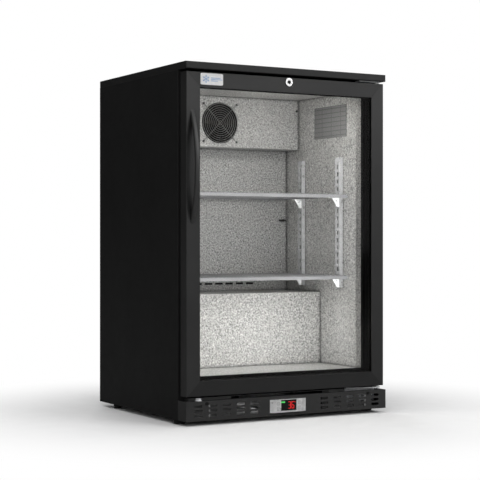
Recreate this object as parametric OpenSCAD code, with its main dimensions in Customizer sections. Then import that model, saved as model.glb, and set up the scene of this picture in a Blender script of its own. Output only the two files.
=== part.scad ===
// Undercounter back-bar refrigerator with one hinged glass door.
// Frame: origin on the floor under the middle of the overall depth, X to the
// right and Y to the back as seen by a person facing the door, Z up.
// Depths named "b" are measured back from the front lip of the top panel.

/* [Cabinet] */
// Overall width of the cabinet and its top panel
cab_w = 600; // [600:5:640]
// Depth of the cabinet from the top panel's front lip to the back, without the handle
cab_d = 520; // [520:5:560]
// Overall height from the floor to the top
cab_h = 900; // [880:5:930]
// Height of the cabinet's underside above the floor
floor_gap = 12; // [11:1:14]
// Thickness of the folded top panel
top_h = 18; // [16:1:22]
// Height of the kick plate in front of the machine space
kick_h = 49; // [49:1:52]
// Thickness of the insulated side walls
wall = 40; // [36:1:44]

/* [Door] */
// Width of the door, centred under the top panel
door_w = 592; // [588:1:594]
// Thickness of the door frame, front to back
door_t = 32; // [32:1:33]
// Face width of the door frame's profiles
frame_w = 38; // [36:1:40]
// Distance from the door's hinge edge to the hinge axis
hinge_inset = 14; // [13:0.5:14.5]
// How far the handle's bow stands out of the door's face
handle_out = 30; // [26:1:34]
// Height of the handle
handle_h = 281; // [250:1:300]

/* [Shelves] */
// Height of the upper shelf's top above the floor
upper_shelf_z = 584; // [564:20:604]
// Height of the lower shelf's top above the floor
lower_shelf_z = 364; // [364:20:404]
// Number of wires that run front to back in a shelf
shelf_wires = 43; // [21:2:43]

/* [Controls] */
// Width of the temperature controller's bezel
control_w = 107; // [100:1:110]
// Height of the temperature controller's bezel
control_h = 33; // [31:1:34]
// Offset of the controller from the cabinet's middle
control_x = -7; // [-12:1:0]

/* [Hidden] */
$fn = 48;

sheet = 1;                 // folded steel sheet
clear = 0.08;              // radial running clearance of turning parts
half_w = cab_w / 2;
z_top = cab_h - top_h;     // underside of the top panel
z_kick = floor_gap + kick_h;

// Door position and size
door_b = 6;                // door face, back from the top panel's lip
door_z0 = z_kick + 11;
door_z1 = z_top - 6;
door_h = door_z1 - door_z0;
half_door = door_w / 2;
door_back_b = door_b + door_t;
face_b = door_back_b + 7;  // front plane of the cabinet, where the gasket seals
hinge_x = half_door - hinge_inset;
hinge_b = door_b + 12;
pin_r = 4;
bush_r = 6;
bush_len = 14;

// The overall depth runs from the handle's bow to the cabinet's back
y_front = (handle_out - door_b - cab_d) / 2;

// Insulated body
in_x = half_w - wall;      // half the inside width
skin_x = half_w - sheet;   // inner face of the side panels
floor_z = z_kick + 54;     // inside floor
under_z = z_kick + 3;      // underside of the foam
ceil_z = z_top - 20;       // inside ceiling
hump_b = 258;              // front of the step over the machine space
hump_z = 314;              // top of that step
back_in_b = cab_d - 51;    // inside back of the liner
foam_b0 = face_b + 2;
foam_b1 = cab_d - 2;
hump_wall = 41;
bay_b = hump_b + hump_wall; // front of the machine space
bay_z = hump_z - hump_wall; // ceiling of the machine space

// Air panels inside
cover_b = back_in_b - 97;
cover_z = ceil_z - 142;
duct_b = back_in_b - 30;
panel_x = in_x - 2;        // half the width of the cover and the duct panel
fan_z = ceil_z - 75;
fan_size = 119;
fan_bolt = 52.5;           // fan's fixing screws, across and up from its middle
shaft_r = 2;

// Shelves and their supports
shelf_half = in_x - 13;
shelf_b0 = 102;
shelf_b1 = duct_b - 7;
pil_depth = 11;
pil_w = 22;
pil_front_b = 145;
pil_rear_b = shelf_b1 - 94;
pil_z0 = 330;
pil_z1 = 686;
pil_pitch = 20;
wire_r = 1.7;
bar_h = 8.5;
rod_r = 2.5;
rod_drop = 5.5;            // centre of the cross rods below the shelf's top

// Feet
foot_x = half_w - 17;
foot_front_b = 69;
foot_rear_b = foot_front_b + 370;
stud_r = 5;

// Machine space
grille_b = cab_d - 42;
comp_x = -150;
comp_b = 386;
comp_r = 64;
cond_x0 = 60;
cond_x1 = 270;
cond_z0 = 24;
cond_z1 = 234;
cond_b = 408;
cond_fan_x = (cond_x0 + cond_x1) / 2;
cond_fan_z = (cond_z0 + cond_z1) / 2;
cond_fan_r = 88;

// ---------- shapes that repeat ----------

function yb(b) = y_front + b;

module slab(x0, x1, b0, b1, z0, z1) {
    translate([x0, yb(b0), z0]) cube([x1 - x0, b1 - b0, z1 - z0]);
}

// Outline in (b, z), extruded across the width
module prism_x(x0, x1, points) {
    translate([x0, y_front, 0]) rotate([90, 0, 90]) linear_extrude(x1 - x0) polygon(points);
}

module rod_x(x0, x1, b, z, r) {
    translate([x0, yb(b), z]) rotate([0, 90, 0]) cylinder(r = r, h = x1 - x0);
}

module rod_y(x, z, b0, b1, r) {
    translate([x, yb(b0), z]) rotate([-90, 0, 0]) cylinder(r = r, h = b1 - b0);
}

module rod_z(x, b, z0, z1, r) {
    translate([x, yb(b), z0]) cylinder(r = r, h = z1 - z0);
}

module rounded_rect(w, h, r) {
    translate([-w / 2, -h / 2]) {
        translate([r, 0]) square([w - 2 * r, h]);
        translate([0, r]) square([w, h - 2 * r]);
        for (x = [r, w - r], y = [r, h - r]) translate([x, y]) circle(r);
    }
}

// A rounded plate facing the front, centred on x and z
module face_plate(x, z, w, h, r, b0, b1) {
    translate([x, yb(b1), z]) rotate([90, 0, 0]) linear_extrude(b1 - b0) rounded_rect(w, h, r);
}

module slot_cut(x, z, length, width, b0, b1) {
    face_plate(x, z, length, width, width / 2 - 0.01, b0, b1);
}

// Pan-head screw whose head lies against the plane b and faces the front (dir = -1) or back (dir = 1)
module screw_y(x, z, b, dir, head_r, shank_r, length) {
    head = head_r * 0.6;
    b_head = dir < 0 ? b - head : b;
    b_shank = dir < 0 ? b : b - length;
    difference() {
        rod_y(x, z, b_head, b_head + head, head_r);
        for (a = [0, 90]) translate([x, yb(dir < 0 ? b_head : b_head + head), z]) rotate([0, a, 0])
            cube([head_r * 1.2, head, head_r * 0.28], center = true);
    }
    rod_y(x, z, b_shank, b_shank + length, shank_r);
}

// One side of a rectangular frame: the 2D profile has u away from the outer edge and v towards the
// back, and both ends are cut to a 45 degree mitre
module mitred_side(length, reach) {
    intersection() {
        translate([-length / 2, 0, 0]) rotate([90, 0, 90]) linear_extrude(length) children();
        translate([0, 200, 0]) rotate([90, 0, 0]) linear_extrude(400)
            polygon([
                [-length / 2, 0], [length / 2, 0], [length / 2 - reach, reach], [reach - length / 2, reach]
            ]);
    }
}

// Four mitred sides around x = -half..half, z0..z1, with the profile's front at b
module mitred_ring(half, z0, z1, b, reach) {
    tall = z1 - z0;
    translate([0, yb(b), z0]) mitred_side(2 * half, reach) children();
    translate([0, yb(b), z1]) mirror([0, 0, 1]) mitred_side(2 * half, reach) children();
    for (m = [0, 1]) mirror([m, 0, 0]) translate([-half, yb(b), z0 + tall / 2])
        rotate([0, 90, 0]) mitred_side(tall, reach) children();
}

module rect_ring(half, z0, z1, width, b0, b1) {
    difference() {
        slab(-half, half, b0, b1, z0, z1);
        slab(-half + width, half - width, b0 - 1, b1 + 1, z0 + width, z1 - width);
    }
}

// A tube through points [x, b, z], with a slightly thicker elbow at each bend
module tube_path(points, r) {
    for (i = [0:len(points) - 2]) {
        p = points[i];
        q = points[i + 1];
        d = [q[0] - p[0], q[1] - p[1], q[2] - p[2]];
        translate([p[0], yb(p[1]), p[2]])
            rotate([0, acos(d[2] / norm(d)), atan2(d[1], d[0])]) cylinder(r = r, h = norm(d));
        if (i > 0) translate([p[0], yb(p[1]), p[2]]) sphere(r * 1.12);
    }
}

// Fins along x with a serpentine tube through them; tubes holds [b, z] of each run, in flow order
module finned_coil(x0, x1, b0, b1, z0, z1, pitch, tubes, r) {
    count = floor((x1 - x0) / pitch);
    for (i = [0:count]) translate([x0 + i * pitch, y_front, 0]) rotate([90, 0, 90]) linear_extrude(0.7)
        difference() {
            translate([b0, z0]) square([b1 - b0, z1 - z0]);
            for (t = tubes) translate(t) circle(r + 0.1);
        }
    for (i = [0:len(tubes) - 1]) {
        t = tubes[i];
        rod_x(x0 - 6, x1 + 6, t[0], t[1], r);
        if (i < len(tubes) - 1) {
            n = tubes[i + 1];
            gap = norm(n - t) / 2;
            mid = (n + t) / 2;
            side = i % 2 == 0 ? 1 : -1;
            translate([side > 0 ? x1 + 6 : x0 - 6, yb(mid[0]), mid[1]])
                rotate([atan2(n[1] - t[1], n[0] - t[0]), 0, 0]) rotate([0, 0, side > 0 ? -90 : 90])
                    rotate_extrude(angle = 180) translate([gap, 0]) circle(r);
        }
    }
}

// Axial fan turning about Y: hub bored for its motor's shaft from b_in to b_out, and pitched blades
module fan_rotor(x, z, b0, b1, hub_r, tip_r, blades, chord, b_in, b_out) {
    difference() {
        rod_y(x, z, b0, b1, hub_r);
        rod_y(x, z, b_in, b_out, shaft_r + clear);
    }
    intersection() {
        rod_y(x, z, b0, b1, tip_r);
        for (k = [0:blades - 1]) translate([x, yb((b0 + b1) / 2), z]) rotate([0, k * 360 / blades, 0])
            rotate([0, 0, 32]) translate([-chord / 2, -0.9, hub_r - 3]) cube([chord, 1.8, tip_r]);
    }
}

// ---------- cabinet ----------

module side_panel() {
    depth = cab_d - face_b;
    translate([-half_w, yb(face_b), floor_gap]) linear_extrude(z_top - floor_gap) intersection() {
        union() {
            square([sheet, depth]);
            square([20, sheet]);
            translate([0, depth - sheet]) square([15, sheet]);
        }
        translate([20, depth / 2]) rounded_rect(40, depth, 1.5);
    }
}

module side_panel_left() color("#1b1b1b") side_panel();

module side_panel_right() color("#1b1b1b") mirror([1, 0, 0]) side_panel();

module rear_panel() color("#8d9092") slab(-skin_x, skin_x, foam_b1, foam_b1 + sheet, bay_z - 20, z_top);

module drain_hole(r) rod_z(200, back_in_b - 14, bay_z - 10, cover_z + 6, r);

// Cavity outline in (b, z), grown by g on every side but the front
function cavity(g, b0) = [
    [b0, floor_z - g], [hump_b + g, floor_z - g], [hump_b + g, hump_z - g],
    [back_in_b + g, hump_z - g], [back_in_b + g, ceil_z + g], [b0, ceil_z + g]
];

module foam_insulation() color("#d8c68a") {
    difference() {
        prism_x(-skin_x, skin_x, [
            [foam_b0, under_z], [bay_b, under_z], [bay_b, bay_z],
            [foam_b1, bay_z], [foam_b1, z_top], [foam_b0, z_top]
        ]);
        prism_x(-in_x - sheet, in_x + sheet, cavity(sheet, foam_b0 - 5));
        drain_hole(8);
    }
    slab(-skin_x, skin_x, face_b + 4, cab_d - sheet, z_top, cab_h - sheet);
}

module inner_liner() color("#b9b9b6") difference() {
    prism_x(-in_x - sheet, in_x + sheet, cavity(sheet, foam_b0));
    prism_x(-in_x, in_x, cavity(0, foam_b0 - 5));
    drain_hole(8);
}

module front_trim() color("#141414") {
    lip = 2;
    difference() {
        slab(-half_w + 20.1, half_w - 20.1, face_b, foam_b0, under_z, z_top - 0.1);
        slab(-in_x + lip, in_x - lip, face_b - 1, foam_b0 + 1, floor_z + lip, ceil_z - lip);
    }
    difference() {
        slab(-in_x, in_x, foam_b0, face_b + 11, floor_z, ceil_z);
        slab(-in_x + lip, in_x - lip, foam_b0 - 1, face_b + 12, floor_z + lip, ceil_z - lip);
    }
}

// Folded lid with a closed box along the front, over the door
module top_panel() color("#2b2b2b") difference() {
    intersection() {
        translate([0, yb(cab_d / 2), z_top]) linear_extrude(top_h) rounded_rect(cab_w, cab_d, 2.5);
        translate([-half_w, yb(cab_d / 2), z_top + top_h / 2]) rotate([90, 0, 90])
            linear_extrude(cab_w) rounded_rect(cab_d, top_h, 2);
    }
    slab(-skin_x, skin_x, sheet, cab_d - sheet, z_top + 1.5, cab_h - sheet);
    slab(-skin_x, skin_x, face_b + 4, cab_d - sheet, z_top - 1, z_top + 2);
    // the lock cam rises through this slot
    slab(-8, 18, door_b + 20, door_b + 28, z_top - 1, z_top + 2);
}

module front_post() {
    difference() {
        slab(-270, -148, face_b, face_b + 32, floor_gap + 2, under_z - 1);
        slab(-268, -150, face_b + 2, face_b + 30, floor_gap + 1, under_z);
    }
    // lug that carries the kick plate
    slab(-252, -232, 1.4, 3.4, floor_gap + 2, z_kick - 1.2);
}

module base_frame() color("#a2a6a8") difference() {
    union() {
        slab(0.3 - skin_x, skin_x - 0.3, 1.4, face_b - 0.1, floor_gap, floor_gap + 2);
        slab(20.2 - half_w, half_w - 20.2, face_b - 0.2, face_b + 2, floor_gap, floor_gap + 2);
        slab(-skin_x, skin_x, face_b + sheet, foam_b1, floor_gap, floor_gap + 2);
        slab(-skin_x, skin_x, foam_b1 - 1.5, foam_b1, floor_gap, floor_gap + 14);
        for (m = [0, 1]) mirror([m, 0, 0]) front_post();
    }
    for (x = [-foot_x, foot_x], b = [foot_front_b, foot_rear_b])
        rod_z(x, b, floor_gap - 1, floor_gap + 3, stud_r + clear);
    for (x = [-242, 242]) rod_y(x, z_kick - 6.5, 0, 5, 2.1);
    // air intake louvres in the tray, between the kick plate and the machine space
    for (x = [-150:50:150]) slab(x - 18, x + 18, 120, 230, floor_gap - 1, floor_gap + 3);
}

module compartment_divider() color("#a2a6a8") difference() {
    prism_x(-skin_x, skin_x, [
        [foam_b0, under_z - sheet], [bay_b + sheet, under_z - sheet], [bay_b + sheet, bay_z - sheet],
        [foam_b1, bay_z - sheet], [foam_b1, bay_z], [bay_b, bay_z], [bay_b, under_z], [foam_b0, under_z]
    ]);
    drain_hole(8);
}

// ---------- kick plate and controller ----------

module kick_plate() color("#262626") difference() {
    union() {
        difference() {
            translate([0, yb(face_b / 2), floor_gap]) linear_extrude(kick_h)
                difference() {
                    rounded_rect(cab_w, face_b, 1.5);
                    translate([0, 0.6]) rounded_rect(cab_w - 2.4, face_b - 1.2, 0.5);
                    translate([0, face_b / 2]) square([cab_w - 2.4, 6], center = true);
                }
        }
        slab(1.2 - half_w, half_w - 1.2, 1.2, 18, z_kick - 1.2, z_kick);
    }
    for (side = [-1, 1], k = [0:4], row = [-1:1])
        slot_cut(side * (105 + 40 * k), floor_gap + 24.8 + 12 * row, 24, 7, -1, 3);
    face_plate(control_x, floor_gap + kick_h / 2, control_w - 16, control_h - 6, 1, -1, 3);
    for (x = [-242, 242]) rod_y(x, z_kick - 6.5, -1, 3, 2.1);
}

control_z = floor_gap + kick_h / 2;
control_out = 6;
window_w = 46;
window_x = control_x - 0.3;
window_z0 = control_z - control_h / 2 + 4;
window_z1 = control_z + control_h / 2 - 1.2;
button_w = 8.4;
button_h = 10;
button_travel = 0.8;
button_xs = [control_x - 31, control_x + 31];
button_zs = [control_z - 6.6, control_z + 6.6];

// Electronics case behind the kick plate, with the dark display window on its front
module controller_body() color("#101012") {
    face_plate(control_x, control_z, control_w - 17, control_h - 7, 1, 0, 41);
    slab(window_x - window_w / 2 + 0.1, window_x + window_w / 2 - 0.1, -control_out + 1.2, 0,
        window_z0 + 0.1, window_z1 - 0.1);
    slab(window_x - window_w / 2 + 1, window_x + window_w / 2 - 1, -1, 1, window_z0 + 1, control_z + 12);
}

// Rounded bezel in (x, b): flat in the middle, sloped to the kick plate at both ends
module controller_bezel() color("#b4b6ba") difference() {
    translate([control_x, y_front, control_z - control_h / 2]) linear_extrude(control_h) polygon([
        [-control_w / 2, 0], [-control_w / 2, -1.2], [-control_w / 2 + 13, -control_out],
        [control_w / 2 - 13, -control_out], [control_w / 2, -1.2], [control_w / 2, 0]
    ]);
    slab(window_x - window_w / 2, window_x + window_w / 2, -control_out - 1, 1, window_z0, window_z1);
    for (x = button_xs, z = button_zs)
        face_plate(x, z, button_w + 0.4, button_h + 0.4, 1.6, -control_out - 1, 1);
    // fine groove between the sloped wing and the flat face
    for (x = [14.3 - control_w / 2, control_w / 2 - 14.3])
        slab(control_x + x - 0.4, control_x + x + 0.4, -control_out - 1, -control_out + 0.8,
            control_z - control_h, control_z + control_h);
}

// One seven-segment digit, seg lists the bars that are lit
module digit(x, z, seg) {
    w = 7.6;
    h = 17.6;
    t = 1.3;
    b0 = -control_out + 0.8;
    b1 = -control_out + 1.2;
    for (s = seg) {
        if (s == 0) slab(x + 0.3, x + w - 0.3, b0, b1, z + h - t, z + h);
        if (s == 1) slab(x + w - t, x + w, b0, b1, z + h / 2 + 0.3, z + h - t - 0.3);
        if (s == 2) slab(x + w - t, x + w, b0, b1, z + t + 0.3, z + h / 2 - 0.3);
        if (s == 3) slab(x + 0.3, x + w - 0.3, b0, b1, z, z + t);
        if (s == 4) slab(x, x + t, b0, b1, z + t + 0.3, z + h / 2 - 0.3);
        if (s == 5) slab(x, x + t, b0, b1, z + h / 2 + 0.3, z + h - t - 0.3);
        if (s == 6) slab(x + t + 0.3, x + w - t - 0.3, b0, b1, z + h / 2 - t / 2, z + h / 2 + t / 2);
    }
}

module display_leds() color("#ff2a1a") {
    x0 = window_x - 1.2;
    z0 = window_z0 + 5;
    digit(x0, z0, [0, 1, 2, 3, 6]);
    digit(x0 + 9.8, z0, [0, 2, 3, 4, 5, 6]);
    rod_y(x0 + 20, z0 + 16, -control_out + 0.8, -control_out + 1.2, 1.1);
    // status bar lamp, left of the digits
    slab(window_x - 22.8, window_x - 11, -control_out + 0.8, -control_out + 1.2, z0 + 15.2, z0 + 18.8);
}

module button(col, row) color("#c2c4c8")
    face_plate(button_xs[col], button_zs[row], button_w, button_h, 1.5, -control_out - 0.9, -0.9);

module button_set() button(0, 1);

module button_light() button(0, 0);

module button_up() button(1, 1);

module button_down() button(1, 0);

// ---------- hinges, feet and fasteners ----------

plate_z = z_kick + 4;
bracket_screws = [-64, -26];

module hinge_brackets() color("#c9ccd0") {
    difference() {
        union() {
            translate([0, y_front, plate_z]) linear_extrude(3) polygon([
                [hinge_x - 86, face_b], [hinge_x + 9, face_b], [hinge_x + 9, hinge_b - 3],
                [hinge_x + 4, hinge_b - 8], [hinge_x - 10, hinge_b - 8], [hinge_x - 86, face_b - 10]
            ]);
            slab(hinge_x - 86, hinge_x + 9, face_b - 3, face_b, z_kick - 30, plate_z);
        }
        rod_z(hinge_x, hinge_b, plate_z - 1, plate_z + 4, pin_r + 0.02);
        for (x = bracket_screws) rod_y(hinge_x + x, z_kick - 16, face_b - 4, face_b + 1, 3.1);
    }
    difference() {
        slab(hinge_x - 60, hinge_x + 9, hinge_b - 8, hinge_b + 12, z_top - 2.5, z_top);
        rod_z(hinge_x, hinge_b, z_top - 4, z_top + 1, pin_r + 0.02);
    }
    // hinge pins, pressed into the plates
    rod_z(hinge_x, hinge_b, plate_z, door_z0 + bush_len - 1, pin_r);
    rod_z(hinge_x, hinge_b, door_z1 - bush_len + 1, z_top, pin_r);
}

module hex_nut(x, b, z, flats, h, bore) {
    translate([x, yb(b), z]) difference() {
        cylinder(r = flats / 2 / cos(30), h = h, $fn = 6);
        if (bore > 0) translate([0, 0, -1]) cylinder(r = bore, h = h + 2);
    }
}

module zinc_fasteners() color("#c9ccd0") {
    // weld nuts for the feet
    for (x = [-foot_x, foot_x], b = [foot_front_b, foot_rear_b])
        hex_nut(x, b, floor_gap + 2, 17, 8, stud_r + clear);
    // screws that hold the lower hinge bracket
    for (x = bracket_screws) screw_y(hinge_x + x, z_kick - 16, face_b - 3, -1, 5, 2.9, 3);
    // flanged bolt in the spare hinge position on the other side
    rod_z(-half_w + 40, 10.5, z_kick, z_kick + 1.5, 9);
    hex_nut(-half_w + 40, 10.5, z_kick + 1.5, 13, 5, 0);
}

module black_screws() color("#111111") {
    for (x = [-242, 242]) screw_y(x, z_kick - 6.5, 0, -1, 4, 1.9, 8);
    for (x = [-252, 252]) screw_y(x, cover_z + 111, cover_b, -1, 3, 1.2, sheet);
    for (x = [-270, 0, 270], z = [30, bay_z - 12]) screw_y(x, z, grille_b + 1.5, 1, 4, 1.6, 1.5);
    for (x = [-fan_bolt, fan_bolt], z = [-fan_bolt, fan_bolt])
        screw_y(x, fan_z + z, cover_b - 1.6, -1, 2.6, 1.2, 10);
}

// Levelling foot: a pad with grip flutes on a threaded stud
module foot(x, b, pad_r) color("#161616") {
    difference() {
        union() {
            rod_z(x, b, 0.8, floor_gap - 1.5, pad_r);
            translate([x, yb(b), 0]) cylinder(r1 = pad_r - 0.8, r2 = pad_r, h = 0.8);
        }
        for (a = [0:45:315]) translate([x, yb(b), 3]) rotate([0, 0, a]) translate([pad_r + 0.6, 0, 0])
            cylinder(r = 1.6, h = floor_gap);
    }
    rod_z(x, b, floor_gap - 1.5, floor_gap + 30, stud_r);
}

module foot_front_left() foot(-foot_x, foot_front_b, 15);

module foot_front_right() foot(foot_x, foot_front_b, 15);

module foot_rear_left() foot(-foot_x, foot_rear_b, 10);

module foot_rear_right() foot(foot_x, foot_rear_b, 10);

// ---------- door ----------

// Hollow frame profile: u from the outer edge inwards, v from the front face back
module frame_profile() {
    lip_t = 2;
    tube_w = frame_w - 12;
    difference() {
        union() {
            translate([0, 0]) square([tube_w, door_t]);
            square([frame_w, lip_t]);
        }
        translate([1.8, 1.8]) square([tube_w - 3.6, door_t - 3.6]);
        difference() {
            translate([-1, -1]) square([2.5, 2.5]);
            translate([1.5, 1.5]) circle(1.5);
        }
    }
}

// (v, u) for mitred_side, which maps the first axis to the back and the second away from the edge
module frame_section() mirror([1, -1, 0]) frame_profile();

module hinge_holes() {
    rod_z(hinge_x, hinge_b, door_z0 - 1, door_z0 + bush_len, bush_r + 0.02);
    rod_z(hinge_x, hinge_b, door_z1 - bush_len, door_z1 + 1, bush_r + 0.02);
}

module door_rail_bottom() color("#2d2d2d") difference() {
    translate([0, yb(door_b), door_z0]) mitred_side(door_w, frame_w) frame_section();
    hinge_holes();
}

lock_z = door_z1 - 12;
plug_r = 4.6;

module door_rail_top() color("#3a3a3a") difference() {
    translate([0, yb(door_b), door_z1]) mirror([0, 0, 1]) mitred_side(door_w, frame_w) frame_section();
    hinge_holes();
    rod_y(0, lock_z, door_b - 1, door_b + 4, 9.1);
    // slot for the lock cam
    slab(-7, 22, door_b + 20.5, door_b + 27.5, door_z1 - 3, door_z1 + 1);
}

module door_stile() translate([-half_door, yb(door_b), door_z0 + door_h / 2])
    rotate([0, 90, 0]) mitred_side(door_h, frame_w) frame_section();

module door_stile_left() color("#383838") door_stile();

module door_stile_right() color("#343434") difference() {
    mirror([1, 0, 0]) door_stile();
    hinge_holes();
}

glass_edge = frame_w - 10; // pane edge, in from the door's edge
pane_t = 4;
pane_gap = 12;
pane_b = door_b + 2.5;

module pane(b) slab(-half_door + glass_edge, half_door - glass_edge, b, b + pane_t,
    door_z0 + glass_edge, door_z1 - glass_edge);

module glass_panes() color([0.8, 0.9, 0.9, 0.25]) {
    pane(pane_b);
    pane(pane_b + pane_t + pane_gap);
}

module glass_spacer() color("#101010")
    rect_ring(half_door - glass_edge - 1, door_z0 + glass_edge + 1, door_z1 - glass_edge - 1, 9,
        pane_b + pane_t, pane_b + pane_t + pane_gap);

module glazing_bead() color("#121212") {
    b0 = pane_b + 2 * pane_t + pane_gap + 0.2;
    lap = 11.9;
    rect_ring(half_door - frame_w + lap, door_z0 + frame_w - lap, door_z1 - frame_w + lap, lap,
        b0, door_back_b);
}

// Magnetic gasket: foot, narrow bellows neck and magnet head, open along both sides
gasket_t = 6.7;

module gasket_section() difference() {
    square([gasket_t, 12]);
    translate([1.6, -1]) square([2.2, 4.5]);
    translate([1.6, 8.5]) square([2.2, 4.5]);
}

module door_gasket() color("#0d0d0d")
    mitred_ring(half_door - 12, door_z0 + 12, door_z1 - 2, door_back_b, 12) gasket_section();

handle_x = -half_door + 17;
handle_z = 640;
handle_w = 11;
handle_t = 9;

// Bow handle: a strip of a ring whose ends meet the door's face
module door_handle() color("#3c3c3c") {
    r_out = (pow(handle_h / 2, 2) + pow(handle_out, 2)) / (2 * handle_out);
    translate([handle_x - handle_w / 2, yb(door_b), handle_z]) rotate([90, 0, 90]) linear_extrude(handle_w)
        intersection() {
            translate([r_out - handle_out, 0]) difference() {
                circle(r_out, $fn = 256);
                circle(r_out - handle_t, $fn = 256);
            }
            translate([-handle_out - 1, -handle_h]) square([handle_out + 1, 2 * handle_h]);
        }
}

module door_badge() color("#f2f4f6")
    face_plate(-half_w + 75, door_z1 - 17.3, 64, 29, 1.5, door_b - 1.2, door_b);

module hinge_bushes() color("#e6e6e2") {
    difference() {
        union() {
            rod_z(hinge_x, hinge_b, door_z0, door_z0 + bush_len, bush_r);
            rod_z(hinge_x, hinge_b, door_z0 - 1.5, door_z0, bush_r + 2);
        }
        rod_z(hinge_x, hinge_b, door_z0 - 3, door_z0 + bush_len + 1, pin_r + 0.06);
    }
    difference() {
        union() {
            rod_z(hinge_x, hinge_b, door_z1 - bush_len, door_z1, bush_r);
            rod_z(hinge_x, hinge_b, door_z1, door_z1 + 1.5, bush_r + 2);
        }
        rod_z(hinge_x, hinge_b, door_z1 - bush_len - 1, door_z1 + 3, pin_r + 0.06);
    }
}

module lock_housing() color("#c8cacd") difference() {
    union() {
        rod_y(0, lock_z, door_b - 2, door_b, 11);
        rod_y(0, lock_z, door_b, door_b + 21, 9);
    }
    rod_y(0, lock_z, door_b - 3, door_b + 22, plug_r + clear);
}

module lock_plug_and_cam() color("#b9bcc0") {
    difference() {
        rod_y(0, lock_z, door_b - 2.4, door_b + 22, plug_r);
        slab(-1.1, 1.1, door_b - 4, door_b + 12, lock_z - 3.6, lock_z + 3.6);
    }
    // cam, lying flat when unlocked
    translate([0, yb(door_b + 24.5), lock_z]) rotate([90, 0, 0]) linear_extrude(2.5) {
        circle(6);
        translate([0, -4.5]) square([17.5, 9]);
        translate([17.5, 0]) circle(4.5);
    }
    rod_y(0, lock_z, door_b + 24.5, door_b + 26.5, 3.5);
}

// ---------- inside ----------

module evaporator_cover() color("#b4b4b1") difference() {
    union() {
        slab(-panel_x, panel_x, cover_b, cover_b + sheet, cover_z, ceil_z - 0.5);
        slab(-panel_x, panel_x, cover_b, duct_b, cover_z, cover_z + sheet);
    }
    rod_y(0, fan_z, cover_b - 1, cover_b + 2, 57);
    for (x = [-252, 252]) rod_y(x, cover_z + 111, cover_b - 1, cover_b + 2, 1.3);
    for (x = [-fan_bolt, fan_bolt], z = [-fan_bolt, fan_bolt])
        rod_y(x, fan_z + z, cover_b - 1, cover_b + 2, 1.3);
}

module rear_duct_panel() color("#9c9c99") difference() {
    slab(-panel_x, panel_x, duct_b, duct_b + sheet, hump_z + 0.5, cover_z + sheet);
    for (k = [-4:4]) slab(k * 33.6 - 12.5, k * 33.6 + 12.5, duct_b - 1, duct_b + 2, 332.5, 338);
}

// Wire guard: rings welded on two crossed wires that end in eyelets
module fan_guard() color("#8e9092") {
    wire = 0.9;
    translate([0, yb(cover_b - 2.4), fan_z]) rotate([90, 0, 0])
        for (r = [6:6:54]) rotate_extrude() translate([r, 0]) circle(wire);
    reach = fan_bolt * sqrt(2) - 3;
    for (a = [45, 135]) translate([0, yb(cover_b - 1), fan_z]) rotate([0, a, 0]) translate([0, 0, -reach])
        cylinder(r = wire, h = 2 * reach);
    for (x = [-fan_bolt, fan_bolt], z = [-fan_bolt, fan_bolt]) difference() {
        rod_y(x, fan_z + z, cover_b - 1.6, cover_b, 3.4);
        rod_y(x, fan_z + z, cover_b - 3, cover_b + 1, 1.3);
    }
}

module evaporator_fan_frame() color("#151515") {
    b0 = cover_b + sheet + 0.2;
    difference() {
        face_plate(0, fan_z, fan_size, fan_size, 5, b0, b0 + 25);
        rod_y(0, fan_z, b0 - 1, b0 + 26, 55);
        for (x = [-fan_bolt, fan_bolt], z = [-fan_bolt, fan_bolt])
            rod_y(x, fan_z + z, b0 - 1, b0 + 12, 1.3);
    }
    for (a = [30:120:270]) translate([0, yb(b0 + 20.5), fan_z]) rotate([0, a, 0])
        translate([-2.5, 0, 15]) cube([5, 3.6, 41]);
    rod_y(0, fan_z, b0 + 19, b0 + 24.7, 20);
    rod_y(0, fan_z, b0 + 9, b0 + 20, shaft_r);
}

module evaporator_fan_rotor() color("#202020")
    fan_rotor(0, fan_z, cover_b + 3, cover_b + 19.5, 19, 53, 7, 30, cover_b + 9.5, cover_b + 21);

module evaporator_coil() color("#b8bcc0") {
    z = cover_z + 32;
    tubes = [for (i = [0:3]) [cover_b + 46, z + 26 * i], for (i = [3:-1:0]) [cover_b + 74, z + 26 * i]];
    finned_coil(-228, 228, cover_b + 34, cover_b + 86, cover_z + 18, cover_z + 126, 12, tubes, 4);
}

module evaporator_drip_tray() color("#b8bcc0") {
    difference() {
        union() {
            difference() {
                slab(-248, 248, cover_b + 30, back_in_b - 3, cover_z + 4, cover_z + 14);
                slab(-246.5, 246.5, cover_b + 31.5, back_in_b - 4.5, cover_z + 5.5, cover_z + 15);
            }
            rod_z(200, back_in_b - 14, bay_z - 28, cover_z + 5, 7.9);
        }
        rod_z(200, back_in_b - 14, bay_z - 29, cover_z + 7, 6);
    }
}

module led_lamp() color("#f4f4f0") {
    slab(-190, 190, 60, 84, ceil_z - 5, ceil_z);
    difference() {
        rod_x(-188, 188, 72, ceil_z - 5.05, 7);
        slab(-200, 200, 50, 94, ceil_z - 5.05, ceil_z + 10);
    }
}

module pilaster(b) difference() {
    slab(in_x - pil_depth, in_x, b, b + pil_w, pil_z0, pil_z1);
    slab(in_x - pil_depth + 1.2, in_x + 1, b + 1.2, b + pil_w - 1.2, pil_z0 - 1, pil_z1 + 1);
    for (z = [pil_z0 + 10:pil_pitch:pil_z1 - 10])
        slab(in_x - pil_depth - 1, in_x - pil_depth + 2, b + 6, b + 13, z - 5.5, z + 5.5);
}

module shelf_pilasters() color("#a9abad") for (m = [0, 1]) mirror([m, 0, 0]) {
    pilaster(pil_front_b);
    pilaster(pil_rear_b);
}

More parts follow.
